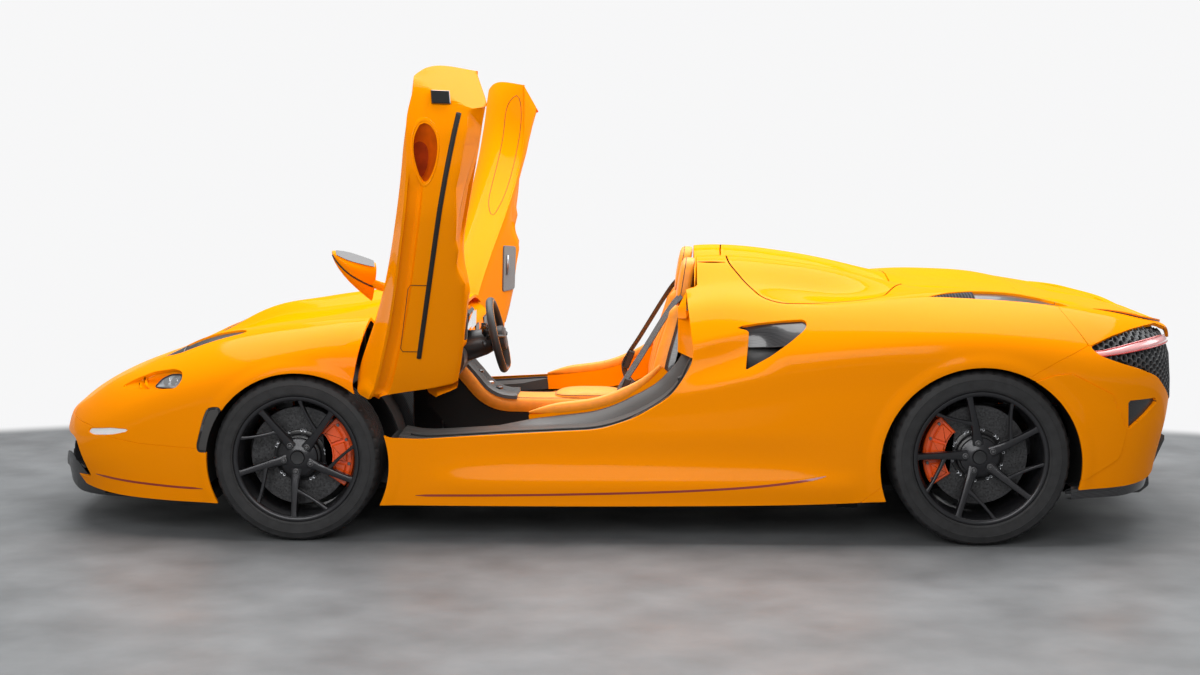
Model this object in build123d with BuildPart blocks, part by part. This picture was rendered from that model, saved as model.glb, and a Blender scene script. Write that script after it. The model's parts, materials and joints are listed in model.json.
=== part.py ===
"""Open two-seat mid-engined supercar, rebuilt as separate panels, tub, cabin, doors and wheels.

Millimetres. Origin on the ground under the middle of the car, +Z up, the nose points to -X and the
car's left side is -Y. The doors stand open at rest; they are drawn shut and then turned.
"""

import math
import os

from build123d import *

os.makedirs("parts", exist_ok=True)

# Overall
FRONT_AXLE_X = -1210.5
REAR_AXLE_X = 1459.5
SKIN = 20.0
END_SKIN = 26.0
FLOOR_EDGE = 30.0
WIDE = 1100.0

# Wheels and tyres
FRONT_TYRE_RADIUS = 328.0
REAR_TYRE_RADIUS = 346.0
FRONT_TYRE_WIDTH = 245.0
REAR_TYRE_WIDTH = 305.0
FRONT_TYRE_FACE_Y = 950.0
REAR_TYRE_FACE_Y = 955.0
FRONT_RIM_RADIUS = 245.0
REAR_RIM_RADIUS = 257.0
RIM_WALL = 13.0
DISC_RADIUS = 195.0
DISC_THICKNESS = 34.0
BOLT_CIRCLE_RADIUS = 56.0
BOLT_RADIUS = 7.0
HUB_BORE_RADIUS = 30.0
STUB_CLEARANCE = 1.0
FRONT_ARCH = (-1205.0, 310.0, 362.0)
REAR_ARCH = (1459.5, 314.0, 392.0)
LINER = 6.0
KINGPIN_Y = 765.0
UPRIGHT_HALF = 112.0
WELL_CLEARANCE = 16.0
BALL_PIN_RADIUS = 8.0

# Doors
DOOR_INNER_Y = 600.0
DOOR_NOSE_X = -800.0
DOOR_NOSE_Y = 745.0
HINGE_PIN_RADIUS = 9.0
DOOR_REAR_DRAFT = [(352, -900), (270, -590), (430, -590), (430, -900)]
DOOR_FRONT_RELIEF = [(-1000, 590), (-970, 590), (-908, 970), (-960, 970)]
DOOR_PIN_RADIUS = 5.0
DOOR_LUG_RADIUS = 12.0
DOOR_ARM_RADIUS = 8.0
DOOR_ARM_START = (-836.0, -575.0, 550.0)
HINGE_RUNNING_GAP = 0.3
DOOR_GAP = 6.0
DOOR_WALL = 26.0
DOOR_OPEN_ANGLE = 88.7
DOOR_AXIS = (0.4241, 0.5496, 0.7198)
DOOR_PIVOT = (-898.0, -881.0, 732.0)

# Tonneau lid's pivot
LID_PIVOT_X = 980.0
LID_PIVOT_Z = 884.0

# Jacking pads under the floor
JACK_PADS = ((-740.0, 26.0), (960.0, 40.0))
JACK_Y = 760.0
JACK_Z = 122.0

# Cabin
COCKPIT_FRONT_X = -560.0
COCKPIT_REAR_X = 366.0
SEAT_Y = 370.0
STEERING_CENTRE = (-460.0, -370.0, 748.0)
STEERING_TILT = 13.0
STEERING_RADIUS = 176.0

# Body cross-sections from the nose to the tail. Each row gives one half of a section.
STATIONS = [
    # x, floor z, floor y, sill y, z, waist y, z, shoulder y, z, crest y, z, valley y, z, ridge y, z, centre z
    (-2294, 235, 300, 335, 285, 350, 345, 340, 395, 300, 418, 200, 424, 100, 424, 424),
    (-2250, 212, 470, 515, 265, 528, 340, 508, 420, 430, 455, 290, 466, 150, 470, 472),
    (-2150, 190, 660, 715, 245, 732, 340, 704, 450, 590, 520, 390, 538, 195, 547, 550),
    (-2000, 172, 780, 838, 235, 856, 350, 828, 500, 700, 596, 460, 603, 240, 614, 618),
    (-1800, 158, 850, 896, 235, 914, 400, 890, 570, 745, 676, 490, 664, 260, 680, 686),
    (-1550, 150, 880, 930, 240, 948, 470, 922, 650, 745, 772, 490, 726, 260, 744, 752),
    (-1200, 145, 890, 945, 250, 967, 540, 942, 735, 745, 842, 485, 788, 260, 800, 808),
    (-930, 138, 880, 938, 215, 955, 540, 925, 740, 755, 858, 600, 838, 300, 856, 862),
    (-560, 134, 870, 934, 195, 903, 450, 905, 640, 775, 796, 600, 806, 300, 872, 880),
    (-150, 136, 870, 936, 195, 888, 455, 890, 620, 775, 745, 600, 748, 300, 820, 820),
    (120, 140, 872, 938, 200, 892, 480, 892, 650, 778, 806, 600, 800, 340, 900, 850),
    (300, 144, 874, 942, 205, 905, 500, 903, 690, 786, 886, 604, 880, 366, 985, 900),
    (366, 145, 874, 944, 205, 912, 510, 908, 710, 790, 905, 606, 1004, 370, 1093, 935),
    (700, 150, 878, 950, 215, 946, 560, 934, 745, 800, 900, 600, 972, 362, 1062, 930),
    (1000, 158, 880, 952, 235, 964, 600, 950, 780, 785, 928, 570, 938, 320, 992, 912),
    (1250, 165, 880, 955, 250, 972, 600, 957, 800, 745, 956, 530, 920, 270, 950, 900),
    (1460, 172, 878, 955, 260, 973, 600, 958, 800, 735, 962, 490, 905, 240, 920, 892),
    (1850, 196, 850, 930, 285, 956, 560, 936, 760, 735, 916, 480, 884, 230, 886, 880),
    (2050, 230, 760, 850, 310, 895, 530, 880, 720, 705, 872, 455, 866, 225, 866, 864),
    (2200, 262, 640, 735, 340, 778, 525, 766, 705, 640, 836, 430, 843, 215, 845, 845),
    (2312, 330, 380, 470, 395, 505, 530, 490, 690, 430, 785, 300, 795, 150, 797, 797),
]


def half_nodes(row):
    x, fz, fy, sy, sz, wy, wz, hy, hz, cy, cz, vy, vz, ry, rz, tz = row
    return [(fy, fz), (sy, sz), (wy, wz), (hy, hz), (cy, cz), (vy, vz), (ry, rz)]


def ring(row):
    """Closed section: bottom left round to the top centre and down the right."""
    right = half_nodes(row)
    left = [(-y, z) for y, z in reversed(right)]
    return right + [(0.0, row[-1])] + left


def grow(points, distance):
    """Moves every side of a closed outline outwards by a distance, or inwards if it is negative."""
    area = sum(
        a[0] * b[1] - b[0] * a[1] for a, b in zip(points, points[1:] + points[:1])
    )
    turn = 1.0 if area > 0 else -1.0
    moved = []
    for i, here in enumerate(points):
        before = points[i - 1]
        after = points[(i + 1) % len(points)]
        ux, uy = here[0] - before[0], here[1] - before[1]
        vx, vy = after[0] - here[0], after[1] - here[1]
        u_length, v_length = math.hypot(ux, uy), math.hypot(vx, vy)
        nx = turn * (uy / u_length + vy / v_length)
        ny = -turn * (ux / u_length + vx / v_length)
        size = math.hypot(nx, ny)
        nx, ny = nx / size, ny / size
        across = turn * (nx * uy - ny * ux) / u_length
        reach = distance / max(across, 0.6)
        moved.append((here[0] + nx * reach, here[1] + ny * reach))
    return moved


def facet_solid(rings):
    """Joins rings of points, each at one x, by flat facets that mirror from left to right."""
    count = len(rings[0])
    facets = [Face(Wire.make_polygon(rings[0])), Face(Wire.make_polygon(rings[-1]))]
    for front, back in zip(rings, rings[1:]):
        for i in range(count):
            j = (i + 1) % count
            on_right = front[i][1] + front[j][1] >= 0
            if on_right:
                corners = [(front[i], front[j], back[j]), (front[i], back[j], back[i])]
            else:
                corners = [(front[j], front[i], back[i]), (front[j], back[i], back[j])]
            for three in corners:
                facets.append(Face(Wire.make_polygon(three)))
    with BuildPart() as volume:
        add(Solid(Shell(facets)))
    return volume.part


def hull(inset):
    """The whole body's volume, closed, moved in by inset on every side."""
    shift = END_SKIN if inset else 0.0
    rings = []
    for number, row in enumerate(STATIONS):
        x = row[0]
        if number == 0:
            x += shift
        if number == len(STATIONS) - 1:
            x -= shift
        rings.append([(x, y, z) for y, z in grow(ring(row), -inset)])
    return facet_solid(rings)


def floor_band():
    """The flat underside's volume, a little narrower than the body and as thick as its skin."""
    rings = []
    for row in STATIONS:
        x, z, half = row[0], row[1], row[2] - FLOOR_EDGE
        low, high = z - 10.0, z + SKIN + 0.5
        rings.append([(x, half, low), (x, half, high), (x, -half, high), (x, -half, low)])
    rings[0] = [(x - 5.0, y, z) for x, y, z in rings[0]]
    rings[-1] = [(x + 5.0, y, z) for x, y, z in rings[-1]]
    return facet_solid(rings)


def prism(points, low, high, plane="XZ"):
    """A straight prism between two offsets: XZ outlines run along y, XY along z, YZ along x."""
    frames = {
        "XZ": Plane(origin=(0, low, 0), x_dir=(1, 0, 0), z_dir=(0, -1, 0)),
        "XY": Plane(origin=(0, 0, low), x_dir=(1, 0, 0), z_dir=(0, 0, 1)),
        "YZ": Plane(origin=(low, 0, 0), x_dir=(0, 1, 0), z_dir=(1, 0, 0)),
    }
    length = low - high if plane == "XZ" else high - low
    with BuildPart() as block:
        with BuildSketch(frames[plane]):
            with BuildLine():
                Polyline(*points, close=True)
            make_face()
        extrude(amount=length)
    return block.part


def block(x0, x1, y0, y1, z0, z1):
    """A box between its corners."""
    with BuildPart() as made:
        with BuildSketch(Plane(origin=(0, 0, z0))):
            with Locations(((x0 + x1) / 2, (y0 + y1) / 2)):
                Rectangle(x1 - x0, y1 - y0)
        extrude(amount=z1 - z0)
    return made.part


def drum(x, z, radius, y0, y1, inner=0.0):
    """A cylinder or a ring whose axis runs along y."""
    with BuildPart() as made:
        with BuildSketch(Plane(origin=(x, y0, z), x_dir=(1, 0, 0), z_dir=(0, 1, 0))):
            Circle(radius)
            if inner:
                Circle(inner, mode=Mode.SUBTRACT)
        extrude(amount=y1 - y0)
    return made.part


def turned(profile, x, z):
    """A solid of revolution about a wheel's axle; the profile is (radius, y)."""
    with BuildPart() as made:
        with BuildSketch(Plane(origin=(x, 0, z), x_dir=(0, 0, 1), z_dir=(1, 0, 0))):
            with BuildLine():
                Polyline(*[(r, -y) for r, y in profile], close=True)
            make_face()
        revolve(axis=Axis((x, 0, z), (0, 1, 0)), revolution_arc=360)
    return made.part


def both_sides(part):
    return [part, part.mirror(Plane.XZ)]


def keep(node, label):
    node.part.label = label
    export_step(node.part, "parts/" + label + ".step")


def cylinder(start, end, radius, bore=0.0):
    """A round bar or tube between two points."""
    run = Vector(*end) - Vector(*start)
    with BuildPart() as made:
        with BuildSketch(Plane(origin=start, z_dir=run)):
            Circle(radius)
            if bore:
                Circle(bore, mode=Mode.SUBTRACT)
        extrude(amount=run.length)
    return made.part


def mirrored(points):
    return [(x, -y) for x, y in points]


# ---------------------------------------------------------------------------------------------
# Outlines, as (x, z) seen from the side or (x, y) seen from above
# ---------------------------------------------------------------------------------------------
DOOR_OUTLINE = [
    (-985, 600), (-925, 960), (312, 1010), (345, 722), (300, 640), (245, 572),
    (120, 496), (-20, 450), (-380, 428), (-729, 409), (-870, 418),
]
FRONT_ZONE = [(-2400, -100), (-1100, -100), (-1100, 500), (-555, 500), (-555, 1300), (-2400, 1300)]
FRONT_BUMPER_ZONE = [(-2400, -100), (-1300, -100), (-1300, 430), (-1620, 478), (-1900, 548), (-2400, 478)]
REAR_BUMPER_ZONE = [(1500, -100), (2400, -100), (2400, 744), (2140, 744), (1963, 714), (1888, 764), (1620, 652), (1500, 600)]
TAIL_DECK_ZONE = [(1752, 1000), (1776, 912), (1888, 764), (2085, 864), (2140, 826), (2140, 790), (2400, 790), (2400, 1100), (1752, 1100)]
TAIL_LAMP_OUTLINE = [(1888, 764), (2085, 864), (2140, 826), (2140, 744), (1963, 714)]
GRILLE_OUTLINE = [(2140, 560), (2400, 560), (2400, 790), (2140, 790)]
HEADLAMP_OUTLINE = [(-1975, 572), (-1815, 646), (-1702, 640), (-1722, 572), (-1860, 552)]
INTAKE_OUTLINE = [(470, 832), (535, 852), (778, 872), (548, 682)]
FENDER_VENT_PLAN = [(-1835, -705), (-1440, -705), (-1450, -650), (-1800, -640)]
DECK_VENT_PLAN = [(1262, -385), (1828, -480), (1800, -570), (1500, -530)]
LID_HALF_PLAN = [(475, 0), (475, 370), (505, 470), (625, 700), (700, 738), (1040, 726), (1112, 690), (1165, 480), (1175, 0)]
COCKPIT_PLAN = [(-560, -600), (366, -600), (366, 600), (-560, 600)]
SPLITTER_PLAN = [(-2312, 250), (-2255, 500), (-2150, 722), (-2000, 858), (-1880, 880), (-1720, 860), (-1720, 0), (-2312, 0)]
SPLITTER_CORE_PLAN = [(-2240, 0), (-2200, 400), (-2060, 640), (-1760, 780), (-1760, 0)]


TILT = math.radians(STEERING_TILT)
COLUMN_DIRECTION = (-math.cos(TILT), -math.sin(TILT))


def on_column(distance):
    """A point on the steering column's axis, measured forwards from the wheel's centre."""
    x, y, z = STEERING_CENTRE
    return (x + distance * COLUMN_DIRECTION[0], y, z + distance * COLUMN_DIRECTION[1])


COLUMN_START = on_column(200)
COLUMN_END = on_column(46)
COLUMN_TIP = on_column(16)
COLUMN_TIP_CLEAR = on_column(12)
COLUMN_TIP_BACK = on_column(36)
BINNACLE_OUTLINE = [(-700, 800), (-575, 770), (-560, 862), (-600, 880), (-700, 872)]
DASH_OUTLINE = [(-825, 562), (-620, 575), (-572, 650), (-578, 770), (-640, 832), (-825, 826)]
CONSOLE_HALF = 95.0
CONSOLE_OUTLINE = [(-820, 185), (-700, 480), (-640, 560), (-585, 560), (-480, 384), (170, 384), (225, 185)]
SEAT_SHELL_OUTLINE = [
    (-330, 185), (-330, 300), (-300, 300), (120, 230), (205, 330), (330, 1010), (358, 1006),
    (240, 300), (150, 185),
]
BOLSTER_OUTLINE = [(-300, 299), (120, 229), (206, 330), (300, 850), (240, 850), (150, 400), (70, 340), (-280, 385)]
CUSHION_OUTLINE = [(-300, 300), (120, 230), (205, 330), (152, 362), (-285, 378)]
BACK_PAD_OUTLINE = [(205, 330), (304, 870), (262, 876), (152, 362)]
BELT_OUTLINE = [(262, 876), (256, 878), (146, 366), (152, 362)]
HEADREST_OUTLINE = [(306, 880), (330, 1010), (338, 1082), (312, 1088), (270, 886)]
SILL_LINE = [(-729, 409), (-380, 428), (-20, 450), (120, 496), (245, 572), (300, 640)]
SILL_TRIM_OUTLINE = [(-814, 386), (-808, 400)] + [(x, z - 9.0) for x, z in SILL_LINE]
SILL_TRIM_OUTLINE += [(357, 730), (371, 730), (371, 386)]
SILL_PAD_OUTLINE = [(-320, 300), (-310, 408), (-20, 438), (116, 482), (236, 556), (297, 625), (340, 698), (340, 300)]
EXHAUST_Y = 85.0
EXHAUST_Z = 660.0
EXHAUST_RADIUS = 48.0
MIRROR_ARM_OUTLINE = [(-640, 780), (-560, 770), (-560, 850), (-640, 860)]
MIRROR_HEAD_OUTLINE = [(-720, 850), (-690, 822), (-520, 824), (-500, 860), (-515, 930), (-600, 950), (-700, 910)]
DIFFUSER_HALF = 640.0
DIFFUSER_OUTLINE = [(1838, 186), (1985, 130), (2110, 142), (2206, 226), (2262, 312), (2262, 330), (1838, 330)]
DIFFUSER_SLOT = [(1880, 60), (2000, 150), (2120, 172), (2240, 330), (2400, 60)]
DIFFUSER_SLOTS = (-480.0, -320.0, -160.0, 0.0, 160.0, 320.0, 480.0)

LID_PLAN = LID_HALF_PLAN + [(x, -y) for x, y in reversed(LID_HALF_PLAN[1:-1])]

# ---------------------------------------------------------------------------------------------
# The body's skin, opened for wheels, doors and cockpit
# ---------------------------------------------------------------------------------------------
OUTER = hull(0.0)
CAVITY = hull(SKIN)

FRONT_WELL_Y = 540.0
REAR_WELL_Y = 630.0
WELL_EDGE_Y = 892.0


def well_cutter(arch, inner_y):
    x, z, radius = arch
    wide = radius + WELL_CLEARANCE
    outside = [drum(x, z, radius, inner_y, WIDE), drum(x, z, radius, -WIDE, -inner_y)]
    inside = [drum(x, z, wide, inner_y, WELL_EDGE_Y), drum(x, z, wide, -WELL_EDGE_Y, -inner_y)]
    return outside + inside


WELLS = well_cutter(FRONT_ARCH, FRONT_WELL_Y) + well_cutter(REAR_ARCH, REAR_WELL_Y)
BAND = floor_band()


def door_space(gap, side):
    """The doorway's volume on one side: deep behind the nose of the door, shallow at its nose."""
    outline = grow(DOOR_OUTLINE, gap) if gap else DOOR_OUTLINE
    with BuildPart() as space:
        add(prism(outline, DOOR_INNER_Y - gap, WIDE))
        add(block(-1300, DOOR_NOSE_X - gap, 0, DOOR_NOSE_Y - 3 * gap, 0, 1400), mode=Mode.SUBTRACT)
    return space.part if side > 0 else space.part.mirror(Plane.XZ)


APERTURES = [door_space(DOOR_GAP, side) for side in (-1, 1)]

with BuildPart() as skin:
    add(OUTER)
    add(CAVITY, mode=Mode.SUBTRACT)
    for well in WELLS:
        add(well, mode=Mode.SUBTRACT)
SKIN_PART = skin.part

with BuildPart() as shell:
    add(SKIN_PART)
    add(BAND, mode=Mode.SUBTRACT)
    for cutter in APERTURES:
        add(cutter, mode=Mode.SUBTRACT)
    add(prism(COCKPIT_PLAN, 400, 1400, "XY"), mode=Mode.SUBTRACT)
SHELL = shell.part

with BuildPart() as underfloor:
    add(SKIN_PART)
    add(BAND, mode=Mode.INTERSECT)
    for x, height in JACK_PADS:
        for y in (-JACK_Y, JACK_Y):
            add(block(x - 40, x + 40, y - 40, y + 40, JACK_Z, JACK_Z + height))
keep(underfloor, "underfloor")

LAMP_SIDES = [(-WIDE, -665.0), (665.0, WIDE)]
VENT_PLANS = [FENDER_VENT_PLAN, mirrored(FENDER_VENT_PLAN), DECK_VENT_PLAN, mirrored(DECK_VENT_PLAN)]
INTAKE_SIDES = [(-WIDE, -640.0), (640.0, WIDE)]

with BuildPart() as front_bumper:
    add(SHELL)
    add(prism(FRONT_BUMPER_ZONE, -WIDE, WIDE), mode=Mode.INTERSECT)
    for low, high in LAMP_SIDES:
        add(prism(HEADLAMP_OUTLINE, low, high), mode=Mode.SUBTRACT)
keep(front_bumper, "front_bumper")

with BuildPart() as front_clamshell:
    add(SHELL)
    add(prism(FRONT_ZONE, -WIDE, WIDE), mode=Mode.INTERSECT)
    add(prism(FRONT_BUMPER_ZONE, -WIDE, WIDE), mode=Mode.SUBTRACT)
    for low, high in LAMP_SIDES:
        add(prism(HEADLAMP_OUTLINE, low, high), mode=Mode.SUBTRACT)
    for plan in VENT_PLANS[:2]:
        add(prism(plan, 450, 1300, "XY"), mode=Mode.SUBTRACT)
keep(front_clamshell, "front_clamshell")

with BuildPart() as headlamps:
    for low, high in LAMP_SIDES:
        with BuildPart(mode=Mode.PRIVATE) as lamp:
            add(SHELL)
            add(prism(HEADLAMP_OUTLINE, low, high), mode=Mode.INTERSECT)
        add(lamp.part)
keep(headlamps, "headlamps")

with BuildPart() as black_vents:
    for plan in VENT_PLANS:
        with BuildPart(mode=Mode.PRIVATE) as vent:
            add(SHELL)
            add(prism(plan, 450, 1300, "XY"), mode=Mode.INTERSECT)
        add(vent.part)
keep(black_vents, "black_vents")

with BuildPart() as rear_all:
    add(SHELL)
    add(prism(FRONT_ZONE, -WIDE, WIDE), mode=Mode.SUBTRACT)
    add(prism(grow(LID_PLAN, DOOR_GAP), 600, 1400, "XY"), mode=Mode.SUBTRACT)
    for low, high in INTAKE_SIDES:
        add(prism(INTAKE_OUTLINE, low, high), mode=Mode.SUBTRACT)
    for plan in VENT_PLANS[2:]:
        add(prism(plan, 450, 1300, "XY"), mode=Mode.SUBTRACT)
REAR_ALL = rear_all.part

with BuildPart() as rear_clamshell:
    add(REAR_ALL)
    for zone in (REAR_BUMPER_ZONE, TAIL_DECK_ZONE, GRILLE_OUTLINE, TAIL_LAMP_OUTLINE):
        add(prism(zone, -WIDE, WIDE), mode=Mode.SUBTRACT)
keep(rear_clamshell, "rear_clamshell")

with BuildPart() as tail_lamps:
    for low, high in LAMP_SIDES:
        with BuildPart(mode=Mode.PRIVATE) as lamp:
            add(REAR_ALL)
            add(prism(TAIL_LAMP_OUTLINE, low, high), mode=Mode.INTERSECT)
        add(lamp.part)
keep(tail_lamps, "tail_lamps")

with BuildPart() as rear_grille:
    add(REAR_ALL)
    add(prism(GRILLE_OUTLINE, -WIDE, WIDE), mode=Mode.INTERSECT)
    for y in (-EXHAUST_Y, EXHAUST_Y):
        add(cylinder((1900, y, EXHAUST_Z), (2400, y, EXHAUST_Z), EXHAUST_RADIUS), mode=Mode.SUBTRACT)
keep(rear_grille, "rear_grille")

with BuildPart() as tail_deck:
    add(REAR_ALL)
    add(prism(TAIL_DECK_ZONE, -WIDE, WIDE), mode=Mode.INTERSECT)
    add(prism(GRILLE_OUTLINE, -WIDE, WIDE), mode=Mode.SUBTRACT)
keep(tail_deck, "tail_deck")

with BuildPart() as rear_bumper:
    add(REAR_ALL)
    add(prism(REAR_BUMPER_ZONE, -WIDE, WIDE), mode=Mode.INTERSECT)
    add(prism(GRILLE_OUTLINE, -WIDE, WIDE), mode=Mode.SUBTRACT)
keep(rear_bumper, "rear_bumper")

with BuildPart() as tonneau_lid:
    add(SKIN_PART)
    add(prism(LID_PLAN, 600, 1400, "XY"), mode=Mode.INTERSECT)
    with BuildPart(mode=Mode.PRIVATE) as lugs:
        for side in (-1, 1):
            low, high = sorted((side * 668, side * 690))
            add(block(LID_PIVOT_X - 25, LID_PIVOT_X + 25, low, high, LID_PIVOT_Z - 16, 1400))
        add(CAVITY, mode=Mode.INTERSECT)
        bore = HINGE_PIN_RADIUS + HINGE_RUNNING_GAP
        add(drum(LID_PIVOT_X, LID_PIVOT_Z, bore, -WIDE, WIDE), mode=Mode.SUBTRACT)
    add(lugs.part)
keep(tonneau_lid, "tonneau_lid")

with BuildPart() as lid_brackets:
    for side in (-1, 1):
        low, high = sorted((side * 698, side * 960))
        add(block(LID_PIVOT_X - 25, LID_PIVOT_X + 25, low, high, LID_PIVOT_Z - 90, LID_PIVOT_Z - 16))
        low, high = sorted((side * 698, side * 712))
        add(block(LID_PIVOT_X - 10, LID_PIVOT_X + 10, low, high, LID_PIVOT_Z - 17, LID_PIVOT_Z + 9))
        low, high = sorted((side * 660, side * 700))
        add(drum(LID_PIVOT_X, LID_PIVOT_Z, HINGE_PIN_RADIUS, low, high))
    add(CAVITY, mode=Mode.INTERSECT)

with BuildPart() as side_intakes:
    for low, high in ((-900.0, -560.0), (560.0, 900.0)):
        back = (low, low + 12.0) if low > 0 else (high - 12.0, high)
        with BuildPart(mode=Mode.PRIVATE) as duct:
            add(prism(grow(INTAKE_OUTLINE, 12.0), low, high))
            add(prism(INTAKE_OUTLINE, low - 1.0, high + 1.0), mode=Mode.SUBTRACT)
            add(prism(grow(INTAKE_OUTLINE, 12.0), *back))
            add(CAVITY, mode=Mode.INTERSECT)
        add(duct.part)
keep(side_intakes, "side_intakes")

with BuildPart() as arch_liners:
    for arch, inner_y in ((FRONT_ARCH, FRONT_WELL_Y), (REAR_ARCH, REAR_WELL_Y)):
        x, z, radius = arch
        with BuildPart(mode=Mode.PRIVATE) as liner:
            roof = radius + WELL_CLEARANCE
            add(drum(x, z, roof + LINER, inner_y, WIDE, roof))
            add(drum(x, z, roof + LINER, inner_y - LINER, inner_y))
            add(block(x - 600, x + 600, inner_y - 20, WIDE, 0, 215), mode=Mode.SUBTRACT)
            add(block(x - 600, x + 600, inner_y - 20, inner_y, 0, 520), mode=Mode.SUBTRACT)
            add(CAVITY, mode=Mode.INTERSECT)
        for one in both_sides(liner.part):
            add(one)
    for cutter in APERTURES:
        add(cutter, mode=Mode.SUBTRACT)
keep(arch_liners, "arch_liners")

with BuildPart() as front_splitter:
    for plan, low, high in ((SPLITTER_PLAN, 128, 158), (SPLITTER_CORE_PLAN, 158, 300)):
        for outline in (plan, mirrored(plan)):
            add(prism(outline, low, high, "XY"))
    add(OUTER, mode=Mode.SUBTRACT)
keep(front_splitter, "front_splitter")

with BuildPart() as diffuser:
    add(prism(DIFFUSER_OUTLINE, -DIFFUSER_HALF, DIFFUSER_HALF))
    add(OUTER, mode=Mode.SUBTRACT)
    for y in DIFFUSER_SLOTS:
        add(prism(DIFFUSER_SLOT, y - 62, y + 62), mode=Mode.SUBTRACT)
keep(diffuser, "diffuser")

# ---------------------------------------------------------------------------------------------
# Tub, frames, engine
# ---------------------------------------------------------------------------------------------
TUB_BOXES = [
    # x0, x1, y0, y1, z0, z1
    (-1120, 430, -525, 525, 100, 185),
    (-814, 430, -865, 865, 100, 185),
    (-814, 430, 640, 865, 184, 385),
    (-814, 430, -865, -640, 184, 385),
    (-1120, -1095, -525, 525, 184, 560),
    (-1120, -800, 500, 525, 184, 560),
    (-1120, -800, -525, -500, 184, 560),
    (-1120, -800, -525, 525, 540, 560),
    (-850, -825, -588, 588, 540, 900),
    (405, 430, -700, 700, 184, 900),
    (372, 430, 640, 865, 384, 720),
    (372, 430, -865, -640, 384, 720),
]
with BuildPart() as tub:
    for x0, x1, y0, y1, z0, z1 in TUB_BOXES:
        add(block(x0, x1, y0, y1, z0, z1))
    add(CAVITY, mode=Mode.INTERSECT)
keep(tub, "tub")

FRAME_FRONT_BOXES = [
    (-1990, -1120, 330, 390, 240, 330),
    (-1990, -1120, -390, -330, 240, 330),
    (-2095, -1990, -560, 560, 235, 345),
    (-1340, -1080 - 40, -440, 440, 150, 240),
    (-1340, -1120, -440, 440, 330, 352),
    (-1265, -1145, 395, 445, 240, 900),
    (-1265, -1145, -445, -395, 240, 900),
]
with BuildPart() as front_frame:
    for x0, x1, y0, y1, z0, z1 in FRAME_FRONT_BOXES:
        add(block(x0, x1, y0, y1, z0, z1))
    add(CAVITY, mode=Mode.INTERSECT)
keep(front_frame, "front_frame")

FRAME_REAR_BOXES = [
    (430, 2060, 400, 460, 280, 360),
    (430, 2060, -460, -400, 280, 360),
    (2060, 2130, -600, 600, 280, 400),
    (1400, 1520, 410, 460, 360, 1000),
    (1400, 1520, -460, -410, 360, 1000),
    (1340, 1580, -460, 460, 180, 280),
]
with BuildPart() as rear_frame:
    for x0, x1, y0, y1, z0, z1 in FRAME_REAR_BOXES:
        add(block(x0, x1, y0, y1, z0, z1))
    add(CAVITY, mode=Mode.INTERSECT)
keep(rear_frame, "rear_frame")

with BuildPart() as engine:
    add(block(500, 1010, -290, 290, 200, 700))
    add(block(1010, 1640, -170, 170, 282, 480))
    for side in (-1, 1):
        low, high = sorted((side * 290, side * 400))
        add(block(700, 780, low, high, 300, 350))
keep(engine, "engine")

with BuildPart() as exhaust:
    add(block(1500, 1990, -260, 260, 480, 600))
    for y in (-EXHAUST_Y, EXHAUST_Y):
        add(cylinder((1985, y, 540), (2070, y, EXHAUST_Z), EXHAUST_RADIUS - 12))
        add(cylinder((2060, y, EXHAUST_Z), (2288, y, EXHAUST_Z), EXHAUST_RADIUS, EXHAUST_RADIUS - 5))
        add(cylinder((2060, y, EXHAUST_Z), (2110, y, EXHAUST_Z), EXHAUST_RADIUS))
keep(exhaust, "exhaust")

# ---------------------------------------------------------------------------------------------
# Cabin
# ---------------------------------------------------------------------------------------------
with BuildPart() as sill_trims:
    with BuildPart(mode=Mode.PRIVATE) as trim:
        add(prism(SILL_TRIM_OUTLINE, 640, 900))
        add(CAVITY, mode=Mode.INTERSECT)
    for one in both_sides(trim.part):
        add(one)
keep(sill_trims, "sill_trims")

with BuildPart() as sill_pads:
    for one in both_sides(prism(SILL_PAD_OUTLINE, 597, 640)):
        add(one)
keep(sill_pads, "sill_pads")

with BuildPart() as dashboard:
    add(prism(DASH_OUTLINE, -560, 560))
    add(prism(BINNACLE_OUTLINE, STEERING_CENTRE[1] - 120, STEERING_CENTRE[1] + 120))
    add(CAVITY, mode=Mode.INTERSECT)
    add(cylinder(COLUMN_START, COLUMN_END, 26))
    add(cylinder(COLUMN_START, COLUMN_TIP, 12))
keep(dashboard, "dashboard")

with BuildPart() as console:
    add(prism(CONSOLE_OUTLINE, -CONSOLE_HALF, CONSOLE_HALF))
keep(console, "console")

SEAT_NODES = [
    # label, outline, half-width
    ("seat_shells", SEAT_SHELL_OUTLINE, 225),
    ("headrests", HEADREST_OUTLINE, 95),
]
for label, outline, half in SEAT_NODES:
    with BuildPart() as seat_node:
        for y in (-SEAT_Y, SEAT_Y):
            add(prism(outline, y - half, y + half))
            if label == "seat_shells":
                for low, high in ((y - 225, y - 200), (y + 200, y + 225)):
                    add(prism(BOLSTER_OUTLINE, low, high))
    keep(seat_node, label)

with BuildPart() as seat_pads:
    for y in (-SEAT_Y, SEAT_Y):
        add(prism(CUSHION_OUTLINE, y - 198, y + 198))
        add(prism(BACK_PAD_OUTLINE, y - 198, y + 198))
keep(seat_pads, "seat_pads")

with BuildPart() as seat_belts:
    for y in (-SEAT_Y - 130, SEAT_Y + 130):
        add(prism(BELT_OUTLINE, y - 23, y + 23))
keep(seat_belts, "seat_belts")

with BuildPart() as pedals:
    for y, half in ((-440, 25), (-340, 38)):
        add(block(-1012, -1000, y - half, y + half, 235, 320))
        add(block(-1012, -1000, y - 8, y + 8, 319, 540))
keep(pedals, "pedals")

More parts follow.
